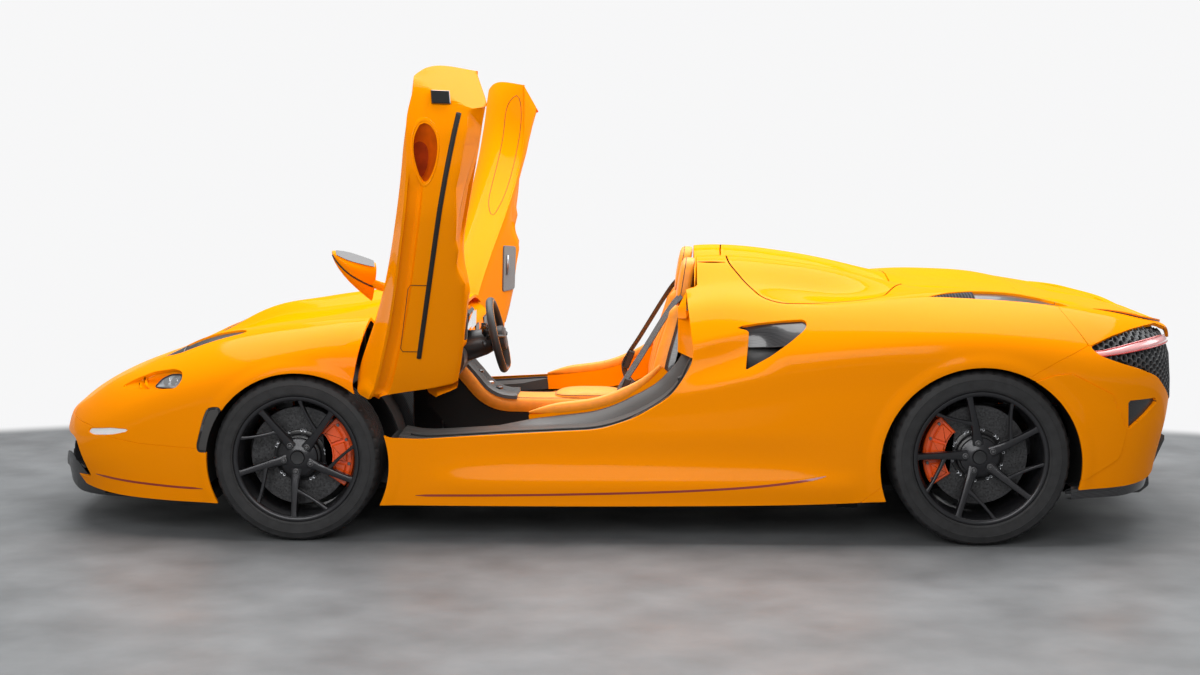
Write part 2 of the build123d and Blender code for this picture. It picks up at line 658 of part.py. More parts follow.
with BuildPart() as steering_wheel:
    tilt = math.radians(STEERING_TILT)
    away = (math.cos(tilt), 0, math.sin(tilt))
    up = (-math.sin(tilt), 0, math.cos(tilt))
    place = Plane(origin=STEERING_CENTRE, x_dir=(0, 1, 0), z_dir=away)
    with BuildSketch(place.offset(-13)):
        Circle(STEERING_RADIUS)
        Circle(STEERING_RADIUS - 28, mode=Mode.SUBTRACT)
    extrude(amount=26)
    with BuildSketch(place.offset(-9)):
        Circle(48)
        Rectangle(2 * STEERING_RADIUS - 40, 36)
        with Locations((0, 80) if away[2] < 0 else (0, -80)):
            Rectangle(30, 140)
    extrude(amount=18)
    add(cylinder(COLUMN_TIP_BACK, STEERING_CENTRE, 28))
    add(cylinder(COLUMN_START, COLUMN_TIP_CLEAR, 13), mode=Mode.SUBTRACT)
keep(steering_wheel, "steering_wheel")

# ---------------------------------------------------------------------------------------------
# Wheels, hubs and suspension
# ---------------------------------------------------------------------------------------------
FRONT_SPOKE_ANGLES = (122.7, 48.9, -24.7, -97.0, -168.6)
REAR_SPOKE_ANGLES = (98.0, 24.6, -42.3, -113.3, 175.8)

AXLES = [
    # name, axle x, tyre radius, tyre width, tyre face y, rim radius, disc radius, spoke angles
    ("front", FRONT_AXLE_X, FRONT_TYRE_RADIUS, FRONT_TYRE_WIDTH, FRONT_TYRE_FACE_Y, FRONT_RIM_RADIUS,
     DISC_RADIUS, FRONT_SPOKE_ANGLES),
    ("rear", REAR_AXLE_X, REAR_TYRE_RADIUS, REAR_TYRE_WIDTH, REAR_TYRE_FACE_Y, REAR_RIM_RADIUS,
     DISC_RADIUS, REAR_SPOKE_ANGLES),
]
SPOKE_DEPTH = 32.0
SPOKE_INSET = 35.0
RIM_LIP = 7.0


def at_angle(x, z, radius, degrees):
    """A point on a circle about the axle, seen from the car's left side."""
    return (x + radius * math.cos(math.radians(degrees)), z + radius * math.sin(math.radians(degrees)))


def ribbon(x, z, run, degrees):
    """Outline of a curved bar round the axle; run gives radius, turn in degrees, half-width."""
    one, other = [], []
    for radius, turn, half in run:
        spread = math.degrees(half / radius)
        one.append(at_angle(x, z, radius, degrees + turn + spread))
        other.append(at_angle(x, z, radius, degrees + turn - spread))
    return one + other[::-1]


MAIN_SPOKE = [(40, 0, 20), (90, 0, 17), (150, 1, 14), (200, 2, 14), (1, 3, 16)]
BRANCH_SPOKE = [(125, 2, 10), (160, 12, 9), (200, 24, 9), (1, 36, 10)]

for name, axle_x, tyre_r, tyre_w, face_y, rim_r, disc_r, spokes in AXLES:
    inner_y = face_y - tyre_w
    hub_face = face_y - SPOKE_INSET
    back = hub_face - SPOKE_DEPTH
    lip_in, lip_out = inner_y + 10, face_y - 6
    wall = rim_r - RIM_WALL
    tyre_profile = [
        (rim_r, lip_in + 12), (rim_r + RIM_LIP, lip_in + 12), (rim_r + RIM_LIP, inner_y + 4),
        (rim_r + 0.55 * (tyre_r - rim_r), inner_y), (tyre_r - 12, inner_y + 9), (tyre_r, inner_y + 30),
        (tyre_r, face_y - 30), (tyre_r - 12, face_y - 9), (rim_r + 0.55 * (tyre_r - rim_r), face_y),
        (rim_r + RIM_LIP, face_y - 2), (rim_r + RIM_LIP, lip_out - 12), (rim_r, lip_out - 12),
    ]
    rim_profile = [
        (wall, lip_in), (rim_r + RIM_LIP, lip_in), (rim_r + RIM_LIP, lip_in + 12), (rim_r, lip_in + 12),
        (rim_r, lip_out - 12), (rim_r + RIM_LIP, lip_out - 12), (rim_r + RIM_LIP, lip_out), (wall, lip_out),
    ]
    disc_profile = [
        (100, back - 73), (disc_r, back - 73), (disc_r, back - 39), (108, back - 39), (108, back),
        (HUB_BORE_RADIUS, back), (HUB_BORE_RADIUS, back - 12), (96, back - 12), (96, back - 39), (100, back - 39),
    ]
    hub_z = tyre_r
    with BuildPart() as tyre:
        add(turned(tyre_profile, axle_x, hub_z))
    with BuildPart() as disc:
        add(turned(disc_profile, axle_x, hub_z))
    with BuildPart() as rim:
        add(turned(rim_profile, axle_x, hub_z))
        add(drum(axle_x, hub_z, 82, back, hub_face - 4))
        for degrees in spokes:
            for run in (MAIN_SPOKE, BRANCH_SPOKE):
                path = run[:-1] + [(wall + 4, run[-1][1], run[-1][2])]
                add(prism(ribbon(axle_x, hub_z, path, degrees), back + 2, hub_face))
        add(drum(axle_x, hub_z, 27, hub_face - 4, hub_face + 4))
        add(drum(axle_x, hub_z, HUB_BORE_RADIUS, back - 1, back + 12), mode=Mode.SUBTRACT)
        for i in range(5):
            bolt_x, bolt_z = at_angle(axle_x, hub_z, BOLT_CIRCLE_RADIUS, spokes[0] + 72 * i)
            add(drum(bolt_x, bolt_z, BOLT_RADIUS, back - 1, WIDE), mode=Mode.SUBTRACT)
    for side, sign in (("left", -1), ("right", 1)):
        for piece, label in ((tyre, "tyre"), (disc, "disc"), (rim, "rim")):
            with BuildPart() as placed:
                add(piece.part if sign > 0 else piece.part.mirror(Plane.XZ))
            keep(placed, label + "_" + name + "_" + side)

    # Upright, stub axle and caliper on the right side
    caliper_x = 1 if name == "front" else -1
    with BuildPart() as upright:
        add(block(axle_x - 45, axle_x + 45, back - 140, back - 100, hub_z - UPRIGHT_HALF, hub_z + UPRIGHT_HALF))
        add(drum(axle_x, hub_z, 60, back - 180, back - 84))
        add(drum(axle_x, hub_z, HUB_BORE_RADIUS - STUB_CLEARANCE, back - 84, back + 8))
        pin_y = KINGPIN_Y if name == "front" else KINGPIN_Y + 2
        pin_low, pin_high = hub_z - UPRIGHT_HALF - 34, hub_z + UPRIGHT_HALF + 34
        add(cylinder((axle_x, pin_y, pin_low), (axle_x, pin_y, pin_high), BALL_PIN_RADIUS))
        low, high = sorted((axle_x + caliper_x * 40, axle_x + caliper_x * 205))
        add(block(low, high, back - 120, back - 100, hub_z - 60, hub_z + 70))
    wedge = [(axle_x, hub_z)]
    for turn in (-38, 6, 50):
        degrees = turn if caliper_x > 0 else 180 - turn
        wedge.append(at_angle(axle_x, hub_z, 300, degrees))
    with BuildPart() as caliper:
        add(drum(axle_x, hub_z, 216, back - 100, back - 12, 122))
        add(prism(wedge, back - 101, back), mode=Mode.INTERSECT)
        add(drum(axle_x, hub_z, disc_r + 6, back - 79, back - 33), mode=Mode.SUBTRACT)
    for side, sign in (("left", -1), ("right", 1)):
        for piece, label in ((upright, "upright"), (caliper, "caliper")):
            with BuildPart() as placed:
                add(piece.part if sign > 0 else piece.part.mirror(Plane.XZ))
            keep(placed, label + "_" + name + "_" + side)

# Wishbones: each is a V from two body pivots to the ball joint on the upright
ARMS = [
    # axle x, pivot half-span, pivot y, ball y, z
    (FRONT_AXLE_X, 75, 435, KINGPIN_Y, FRONT_TYRE_RADIUS - UPRIGHT_HALF - 20),
    (FRONT_AXLE_X, 45, 435, KINGPIN_Y, FRONT_TYRE_RADIUS + UPRIGHT_HALF + 20),
    (REAR_AXLE_X, 95, 450, KINGPIN_Y + 2, REAR_TYRE_RADIUS - UPRIGHT_HALF - 12),
    (REAR_AXLE_X, 42, 450, KINGPIN_Y + 2, REAR_TYRE_RADIUS + UPRIGHT_HALF + 12),
]
with BuildPart() as suspension:
    for axle_x, span, pivot_y, ball_y, z in ARMS:
        with BuildPart(mode=Mode.PRIVATE) as arm:
            add(cylinder((axle_x - span, pivot_y, z), (axle_x, ball_y, z), 11))
            add(cylinder((axle_x + span, pivot_y, z), (axle_x, ball_y, z), 11))
            add(cylinder((axle_x, ball_y, z - 12), (axle_x, ball_y, z + 12), 20))
            bore = BALL_PIN_RADIUS + HINGE_RUNNING_GAP
            add(cylinder((axle_x, ball_y, z - 60), (axle_x, ball_y, z + 60), bore), mode=Mode.SUBTRACT)
        for one in both_sides(arm.part):
            add(one)
    add(front_frame.part, mode=Mode.SUBTRACT)
    add(rear_frame.part, mode=Mode.SUBTRACT)
keep(suspension, "suspension")

# ---------------------------------------------------------------------------------------------
# Doors, drawn shut on the left side, then turned open and mirrored
# ---------------------------------------------------------------------------------------------
INNER_OUTLINE = grow(DOOR_OUTLINE, -DOOR_WALL)
AXIS_LENGTH = math.sqrt(sum(a * a for a in DOOR_AXIS))


def on_hinge(distance):
    """A point on the left door's hinge axis."""
    return tuple(p + distance * a / AXIS_LENGTH for p, a in zip(DOOR_PIVOT, DOOR_AXIS))


with BuildPart() as door_hollow:
    add(CAVITY)
    add(prism(INNER_OUTLINE, -WIDE, -DOOR_INNER_Y + 1), mode=Mode.INTERSECT)
    add(block(-1300, DOOR_NOSE_X + DOOR_WALL, -WIDE, 0, 0, 1400), mode=Mode.SUBTRACT)
    add(prism([(x - DOOR_WALL, y) for x, y in DOOR_REAR_DRAFT], 500, 1100, "XY"), mode=Mode.SUBTRACT)

with BuildPart() as nose_hollow:
    add(CAVITY)
    add(block(-1300, DOOR_NOSE_X, -WIDE, 0, 0, 1400), mode=Mode.INTERSECT)

with BuildPart() as door_shell:
    add(OUTER)
    add(door_space(0.0, -1), mode=Mode.INTERSECT)
    add(door_hollow.part, mode=Mode.SUBTRACT)
    add(nose_hollow.part, mode=Mode.SUBTRACT)
    add(cylinder((270, -720, 790), (420, -720, 790), 46), mode=Mode.SUBTRACT)
    for well in well_cutter(FRONT_ARCH, DOOR_INNER_Y - 10):
        add(well, mode=Mode.SUBTRACT)
    add(prism(DOOR_FRONT_RELIEF, -WIDE, 0), mode=Mode.SUBTRACT)
    add(prism(DOOR_REAR_DRAFT, 560, 1100, "XY"), mode=Mode.SUBTRACT)
    add(cylinder(on_hinge(-6), on_hinge(14), DOOR_LUG_RADIUS))
    add(cylinder(on_hinge(-30), on_hinge(10), DOOR_PIN_RADIUS + HINGE_RUNNING_GAP), mode=Mode.SUBTRACT)

with BuildPart() as door_trim:
    add(door_hollow.part)
    add(block(-1300, 1300, -DOOR_INNER_Y - 24, -DOOR_INNER_Y, 0, 1400), mode=Mode.INTERSECT)

with BuildPart() as door_mirror:
    add(prism(MIRROR_ARM_OUTLINE, -965, -740))
    add(prism(MIRROR_HEAD_OUTLINE, -1075, -960))
    add(door_shell.part, mode=Mode.SUBTRACT)
    add(OUTER, mode=Mode.SUBTRACT)

with BuildPart() as hinge_arm:
    add(cylinder(DOOR_ARM_START, on_hinge(-20), DOOR_ARM_RADIUS))
    add(cylinder(on_hinge(-24), on_hinge(8), DOOR_PIN_RADIUS))
    add(tub.part, mode=Mode.SUBTRACT)

HINGE = Axis(DOOR_PIVOT, DOOR_AXIS)
for piece, label in ((door_shell, "door_shell"), (door_trim, "door_trim"), (door_mirror, "door_mirror")):
    opened = piece.part.rotate(HINGE, -DOOR_OPEN_ANGLE)
    for side, shape in (("left", opened), ("right", opened.mirror(Plane.XZ))):
        with BuildPart() as placed:
            add(shape)
        keep(placed, label + "_" + side)

with BuildPart() as hinge_brackets:
    add(lid_brackets.part)
    for one in both_sides(hinge_arm.part):
        add(one)
keep(hinge_brackets, "hinge_brackets")
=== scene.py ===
"""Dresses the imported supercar: painted panels, wheels, cabin, lamps, floor, lights and camera.

Lengths are in metres. X runs from the nose to the tail, Y to the car's right and Z up from the floor.
"""

import json
import math

import bpy
import numpy as np
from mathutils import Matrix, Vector
from mathutils.bvhtree import BVHTree

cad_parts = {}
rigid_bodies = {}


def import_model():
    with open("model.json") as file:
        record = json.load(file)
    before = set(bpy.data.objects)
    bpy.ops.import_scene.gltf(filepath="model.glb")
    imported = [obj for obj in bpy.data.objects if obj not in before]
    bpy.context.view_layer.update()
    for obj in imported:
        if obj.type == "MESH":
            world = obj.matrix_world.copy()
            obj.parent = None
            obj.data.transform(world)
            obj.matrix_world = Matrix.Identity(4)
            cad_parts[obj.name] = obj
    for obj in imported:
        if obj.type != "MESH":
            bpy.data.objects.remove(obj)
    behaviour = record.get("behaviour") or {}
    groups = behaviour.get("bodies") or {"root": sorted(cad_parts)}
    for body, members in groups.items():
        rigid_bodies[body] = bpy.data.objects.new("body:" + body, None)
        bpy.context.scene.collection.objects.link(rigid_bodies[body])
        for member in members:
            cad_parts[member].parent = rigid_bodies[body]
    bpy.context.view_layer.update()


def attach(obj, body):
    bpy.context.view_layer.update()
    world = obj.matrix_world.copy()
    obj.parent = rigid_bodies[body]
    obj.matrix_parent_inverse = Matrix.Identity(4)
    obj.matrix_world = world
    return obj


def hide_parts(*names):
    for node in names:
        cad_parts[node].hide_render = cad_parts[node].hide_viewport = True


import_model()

# ---------------------------------------------------------------------------------------------
# Materials
# ---------------------------------------------------------------------------------------------


def shader(mat):
    return mat.node_tree.nodes["Principled BSDF"]


def node(mat, kind, **settings):
    """A new node; settings are its own properties, or inputs with _ for a space."""
    made = mat.node_tree.nodes.new(kind)
    for key, value in settings.items():
        if hasattr(made, key):
            setattr(made, key, value)
        else:
            made.inputs[key.replace("_", " ")].default_value = value
    return made


def link(mat, source, target):
    mat.node_tree.links.new(source, target)


def coords(mat, scale=(1, 1, 1), rotate=(0, 0, 0)):
    where = node(mat, "ShaderNodeTexCoord")
    turn = node(mat, "ShaderNodeMapping", Scale=scale, Rotation=rotate)
    link(mat, where.outputs["Object"], turn.inputs["Vector"])
    return turn.outputs["Vector"]


def noise(mat, scale, detail=3.0):
    made = node(mat, "ShaderNodeTexNoise", Scale=scale, Detail=detail)
    link(mat, coords(mat), made.inputs["Vector"])
    return made.outputs["Fac"]


def ramp(mat, fac, stops):
    made = node(mat, "ShaderNodeValToRGB")
    for element, (position, color) in zip(made.color_ramp.elements, stops):
        element.position = position
        element.color = (*color, 1)
    link(mat, fac, made.inputs["Fac"])
    return made.outputs["Color"]


def mottle(mat, color, spread, scale, detail=3.0):
    """Lets the base colour drift a little either side of its value."""
    dark = [c * (1 - spread) for c in color]
    light = [min(1.0, c * (1 + spread)) for c in color]
    tone = ramp(mat, noise(mat, scale, detail), [(0.3, dark), (0.7, light)])
    link(mat, tone, shader(mat).inputs["Base Color"])


def roughen(mat, low, high, scale):
    """Lets the roughness drift between two values."""
    made = node(mat, "ShaderNodeMapRange", From_Min=0.3, From_Max=0.7, To_Min=low, To_Max=high)
    link(mat, noise(mat, scale, 4.0), made.inputs["Value"])
    link(mat, made.outputs["Result"], shader(mat).inputs["Roughness"])


def relief(mat, height, strength, distance):
    made = node(mat, "ShaderNodeBump", Strength=strength, Distance=distance)
    link(mat, height, made.inputs["Height"])
    link(mat, made.outputs["Normal"], shader(mat).inputs["Normal"])


def material(name, color, rough=0.5, metal=0.0, coat=0.0, coat_rough=0.03, sheen=0.0, spec=0.5, coat_ior=1.5,
             drift=None, polish=None, grain=None):
    """A material with drift (spread, scale, detail) of its colour, polish (low, high, scale) of its
    roughness and grain (scale, detail, strength, depth) of its surface."""
    mat = bpy.data.materials.new(name)
    mat.use_nodes = True
    values = {"Base Color": (*color, 1), "Roughness": rough, "Metallic": metal, "Coat Weight": coat,
              "Coat Roughness": coat_rough, "Coat IOR": coat_ior, "Sheen Weight": sheen,
              "Specular IOR Level": spec}
    for key, value in values.items():
        shader(mat).inputs[key].default_value = value
    if drift:
        mottle(mat, color, *drift)
    if polish:
        roughen(mat, *polish)
    if grain:
        relief(mat, noise(mat, *grain[:2]), *grain[2:])
    return mat


ORANGE = (0.95, 0.275, 0.0)
PAINT = material("paint_orange", ORANGE, 0.45, 0.0, 0.20, 0.08, spec=0.0, coat_ior=1.4,
                 drift=(0.035, 900.0, 2.0))
PAINT_IN = material("paint_orange_inner", ORANGE, 0.48, 0.0, 0.15, 0.12, spec=0.0, coat_ior=1.4,
                    drift=(0.04, 600.0, 2.0))
# Darker copies of the orange paint: painted shade inside the door's air duct, deepest at its mouth
DUCT_PAINTED_SHADE = material("duct_painted_shade", (0.62, 0.10, 0.0), 0.6, 0.0, 0.1, 0.2, spec=0.15, drift=(0.12, 24.0))
DUCT_PAINTED_DEEP_SHADE = material("duct_painted_deep_shade", (0.30, 0.028, 0.0), 0.7, spec=0.1, drift=(0.2, 24.0))
BLACK = material("satin_black", (0.012, 0.012, 0.013), 0.38, 0.0, 0.2, 0.2, polish=(0.34, 0.46, 60.0))
GLOSS = material("gloss_black", (0.006, 0.006, 0.007), 0.12, 0.0, 1.0, 0.02, drift=(0.2, 30.0))
TRIM = material("dark_grey_trim", (0.05, 0.048, 0.046), 0.45, grain=(1400.0, 2.0, 0.25, 0.0003))
# Black rubber for the real seals, also used for dark marks of painted shade: the brake discs' holes and the
# cover lines
SEAL_RUBBER_AND_PAINTED_SHADE = material("rubber_seal_and_painted_shade", (0.008, 0.008, 0.008), 0.7, grain=(500.0, 3.0, 0.3, 0.0004))
CARBON = material("carbon_weave", (0.02, 0.02, 0.022), 0.3, 0.0, 0.8, 0.04)
TWILL = node(CARBON, "ShaderNodeTexChecker", Scale=180.0)
link(CARBON, coords(CARBON, rotate=(0.0, 0.0, 0.785)), TWILL.inputs["Vector"])
WEAVE = [(0.0, (0.010, 0.010, 0.011)), (1.0, (0.034, 0.034, 0.037))]
link(CARBON, ramp(CARBON, TWILL.outputs["Fac"], WEAVE), shader(CARBON).inputs["Base Color"])
LINER = material("moulded_liner", (0.012, 0.012, 0.012), 0.85, grain=(260.0, 3.0, 0.5, 0.001))
RIM = material("rim_graphite", (0.022, 0.022, 0.025), 0.36, 0.55, 0.35, 0.15, polish=(0.30, 0.42, 90.0))
TYRE = material("tyre_rubber", (0.014, 0.014, 0.015), 0.62, drift=(0.35, 30.0),
                grain=(700.0, 3.0, 0.35, 0.0005))
DISC = material("carbon_ceramic", (0.05, 0.05, 0.052), 0.34, 0.4, drift=(0.55, 120.0, 5.0))
CALIPER = material("caliper_red", (0.88, 0.095, 0.006), 0.3, 0.0, 0.8, 0.05, drift=(0.06, 200.0))
ALLOY = material("machined_alloy", (0.45, 0.46, 0.48), 0.35, 1.0, polish=(0.28, 0.45, 120.0))
DARK_ALLOY = material("cast_alloy", (0.16, 0.16, 0.165), 0.5, 0.9, grain=(240.0, 3.0, 0.3, 0.0006))
EXHAUST = material("exhaust_titanium", (0.42, 0.39, 0.36), 0.28, 1.0, drift=(0.15, 14.0))
PINSTRIPE = material("pinstripe_red", (0.30, 0.018, 0.004), 0.35, 0.0, 0.8, 0.05, drift=(0.05, 300.0))
LEATHER = material("orange_leather", (0.92, 0.29, 0.004), 0.48, sheen=0.15, drift=(0.07, 40.0))
GRAIN = node(LEATHER, "ShaderNodeTexVoronoi", Scale=900.0)
link(LEATHER, coords(LEATHER), GRAIN.inputs["Vector"])
relief(LEATHER, GRAIN.outputs["Distance"], 0.35, 0.0004)
SUEDE = material("grey_suede", (0.075, 0.074, 0.074), 0.95, sheen=0.6, drift=(0.22, 260.0, 5.0),
                 grain=(1800.0, 3.0, 0.4, 0.0003))
DARK_HIDE = material("black_leather", (0.014, 0.014, 0.014), 0.5, sheen=0.1, grain=(800.0, 3.0, 0.4, 0.0004))
WEBBING = material("belt_webbing", (0.012, 0.012, 0.013), 0.75, sheen=0.3)
RIBS = []
for turn in (0.0, 1.571):
    wave = node(WEBBING, "ShaderNodeTexWave", Scale=220.0)
    link(WEBBING, coords(WEBBING, rotate=(0, 0, turn)), wave.inputs["Vector"])
    RIBS.append(wave.outputs["Fac"])
CROSSING = node(WEBBING, "ShaderNodeMath", operation="MULTIPLY")
for rib, socket in zip(RIBS, CROSSING.inputs):
    link(WEBBING, rib, socket)
relief(WEBBING, CROSSING.outputs[0], 0.6, 0.0006)
REFLECTOR = material("lamp_reflector", (0.75, 0.76, 0.78), 0.14, 1.0, polish=(0.1, 0.2, 90.0))
LENS_GLASS = material("lens_glass", (0.32, 0.34, 0.36), 0.12, 0.3, 1.0, 0.02, drift=(0.55, 26.0, 2.0))
LED_WHITE = material("led_white", (0.85, 0.87, 0.9), 0.25, drift=(0.05, 300.0))
LED_RED = material("led_red", (0.55, 0.012, 0.01), 0.2, 0.0, 1.0, 0.03, drift=(0.15, 200.0))
LED_PINK = material("led_pink", (0.90, 0.42, 0.42), 0.2, 0.0, 1.0, 0.03, drift=(0.06, 200.0))
MIRROR_GLASS = material("mirror_glass", (0.03, 0.032, 0.035), 0.08, polish=(0.05, 0.11, 60.0))
HONEYCOMB = material("honeycomb_grey", (0.055, 0.057, 0.060), 0.4, polish=(0.34, 0.5, 120.0))

# ---------------------------------------------------------------------------------------------
# Mesh helpers
# ---------------------------------------------------------------------------------------------
MIRROR = np.array([1.0, -1.0, 1.0])


def make_object(name, points, faces, mat, normals=None, smooth=True):
    mesh = bpy.data.meshes.new(name)
    mesh.from_pydata([tuple(p) for p in np.asarray(points, float)], [],
                     [tuple(int(i) for i in f) for f in faces])
    mesh.validate()
    mesh.polygons.foreach_set("use_smooth", [smooth] * len(mesh.polygons))
    obj = bpy.data.objects.new(name, mesh)
    bpy.context.scene.collection.objects.link(obj)
    mesh.materials.append(mat)
    if normals is not None:
        mesh.normals_split_custom_set_from_vertices([tuple(n) for n in normals])
    mesh.update()
    return obj


def piece(name, points, faces, mat, body="root", slot="paint", stands_for=(), normals=None, sharp=None):
    """A visible piece; edges sharper than the sharp angle in degrees break its smooth shading."""
    obj = make_object(name, points, faces, mat, normals)
    if sharp is not None:
        obj.data.set_sharp_from_angle(angle=math.radians(sharp))
    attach(obj, body)
    if stands_for:
        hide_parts(*stands_for)
    return obj


def flipped(faces):
    return [tuple(reversed(f)) for f in faces]


class Mesh:
    """Collects points and faces of one piece."""

    def __init__(self):
        self.points = []
        self.faces = []
        self.count = 0

    def add(self, points, faces):
        points = np.asarray(points, float).reshape(-1, 3)
        self.points.append(points)
        self.faces += [tuple(int(i) + self.count for i in f) for f in faces]
        self.count += len(points)
        return self

    def merged(self):
        return np.concatenate(self.points), self.faces


def on_both_sides(name, points, faces, mat, slot, nodes=(), sharp=None):
    """One piece made of a shape with y positive and its mirror image."""
    mesh = Mesh().add(points, faces).add(np.asarray(points) * MIRROR, flipped(faces))
    return piece(name, *mesh.merged(), mat, "root", slot, nodes, sharp=sharp)


def grid_faces(rows, cols, close_rows=False, close_cols=False):
    """Four-sided faces between rows of points, each with the same number of columns."""
    faces = []
    for i in range(rows if close_rows else rows - 1):
        j = (i + 1) % rows
        for k in range(cols if close_cols else cols - 1):
            m = (k + 1) % cols
            faces.append((i * cols + k, i * cols + m, j * cols + m, j * cols + k))
    return faces


def caps(rows, cols):
    """The two faces that fill the first and the last row of a grid."""
    return [tuple(range(cols)), tuple(reversed(range((rows - 1) * cols, rows * cols)))]


def skinned(rows, flip=False, closed=False, ends=False):
    """A sheet through rows of points; closed joins each row's ends, ends fills the first and the last row."""
    rows = np.asarray(rows, float)
    faces = grid_faces(*rows.shape[:2], close_cols=closed)
    if flip:
        faces = flipped(faces)
    return rows.reshape(-1, 3), faces + caps(*rows.shape[:2]) if ends else faces


def triangles(quads):
    quads = np.array(quads)
    return np.concatenate([quads[:, [0, 1, 2]], quads[:, [0, 2, 3]]])


def unit(vectors, tiny=1e-9):
    return vectors / np.maximum(np.linalg.norm(vectors, axis=1), tiny)[:, None]


def run_along(line):
    """Distance along a line at each of its points."""
    return np.concatenate([[0], np.cumsum(np.linalg.norm(np.diff(line, axis=0), axis=1))])


def resample(points, step, closed=False):
    points = np.asarray(points, float)
    if closed:
        points = np.vstack([points, points[:1]])
    run = run_along(points)
    count = max(2, int(round(run[-1] / step)) + 1)
    at = np.linspace(0, run[-1], count)
    if closed:
        at = at[:-1]
    return np.stack([np.interp(at, run, points[:, k]) for k in range(points.shape[1])], axis=1)


def rounded(points, radius, steps=6):
    """Rounds the corners of a closed outline."""
    points = [np.asarray(p, float) for p in points]
    out = []
    for i, here in enumerate(points):
        before, after = points[i - 1], points[(i + 1) % len(points)]
        a, b = before - here, after - here
        la, lb = np.linalg.norm(a), np.linalg.norm(b)
        r = min(radius, 0.45 * la, 0.45 * lb)
        p, q = here + a / la * r, here + b / lb * r
        for k in range(steps + 1):
            t = k / steps
            out.append((1 - t) ** 2 * p + 2 * t * (1 - t) * here + t * t * q)
    return np.array(out)


def segment(p0, p1, p2, p3, t):
    """Centripetal Catmull-Rom between p1 and p2; inputs (m, 3), result (m, len(t), 3)."""
    d1, d2, d3 = (np.maximum(np.linalg.norm(b - a, axis=1), 1e-5)[:, None] ** 0.5
                  for a, b in ((p0, p1), (p1, p2), (p2, p3)))
    m1 = ((p2 - p1) / d2 - (p2 - p0) / (d1 + d2) + (p1 - p0) / d1) * d2
    m2 = ((p3 - p2) / d3 - (p3 - p1) / (d2 + d3) + (p2 - p1) / d2) * d2
    t = t[None, :, None]
    h00, h10 = 2 * t**3 - 3 * t**2 + 1, t**3 - 2 * t**2 + t
    h01, h11 = -2 * t**3 + 3 * t**2, t**3 - t**2
    return h00 * p1[:, None] + h10 * m1[:, None] + h01 * p2[:, None] + h11 * m2[:, None]


def smooth_line(points, step, closed=False):
    """A centripetal Catmull-Rom line through points, resampled evenly."""
    p = np.asarray(points, float)
    n = len(p)
    out = []
    for i in range(n if closed else n - 1):
        p1, p2 = p[i], p[(i + 1) % n]
        p0 = p[i - 1] if closed or i > 0 else 2 * p1 - p2
        p3 = p[(i + 2) % n] if closed or i + 2 < n else 2 * p2 - p1
        out.append(segment(p0[None], p1[None], p2[None], p3[None], np.linspace(0, 1, 13)[:-1])[0])
    line = np.concatenate(out)
    if not closed:
        line = np.vstack([line, p[-1:]])
    return resample(line, step, closed)


def spline_rows(knots, values, at):
    """Natural cubic spline down the rows of values (n, k)."""
    n = len(knots)
    h = np.diff(knots)
    lhs = np.zeros((n, n))
    rhs = np.zeros((n, values.shape[1]))
    lhs[0, 0] = lhs[-1, -1] = 1
    slope = np.diff(values, axis=0) / h[:, None]
    for i in range(1, n - 1):
        lhs[i, i - 1], lhs[i, i], lhs[i, i + 1] = h[i - 1], 2 * (h[i - 1] + h[i]), h[i]
        rhs[i] = 6 * (slope[i] - slope[i - 1])
    m = np.linalg.solve(lhs, rhs)
    k = np.clip(np.searchsorted(knots, at) - 1, 0, n - 2)
    w = (at - knots[k])[:, None]
    hk = h[k][:, None]
    a = (m[k + 1] - m[k]) / (6 * hk)
    c = slope[k] - hk * (2 * m[k] + m[k + 1]) / 6
    return values[k] + c * w + m[k] / 2 * w**2 + a * w**3


def path_normals(line):
    """Unit normals across a flat line."""
    run = np.gradient(np.asarray(line, float), axis=0)
    run /= np.linalg.norm(run, axis=1)[:, None]
    return np.stack([-run[:, 1], run[:, 0]], 1)


def vertex_normals(points, faces):
    """Area-weighted point normals; faces (n, 3)."""
    a, b, c = (points[faces[:, k]] for k in range(3))
    face = np.cross(b - a, c - a)
    out = np.zeros_like(points)
    for k in range(3):
        np.add.at(out, faces[:, k], face)
    return unit(out, 1e-12)


def outline_distance(points, outline):
    """Signed distance from 2-D points to a closed outline, negative inside."""
    outline = np.asarray(outline, float)
    best = np.full(len(points), 1e9)
    inside = np.zeros(len(points), bool)
    for a, b in zip(outline, np.roll(outline, -1, axis=0)):
        d = b - a
        t = np.clip(((points - a) @ d) / max(d @ d, 1e-12), 0, 1)
        best = np.minimum(best, np.linalg.norm(points - a - t[:, None] * d, axis=1))
        crosses = (a[1] > points[:, 1]) != (b[1] > points[:, 1])
        if abs(d[1]) > 1e-12:
            inside ^= crosses & (points[:, 0] < a[0] + (points[:, 1] - a[1]) / d[1] * d[0])
    return np.where(inside, -best, best)


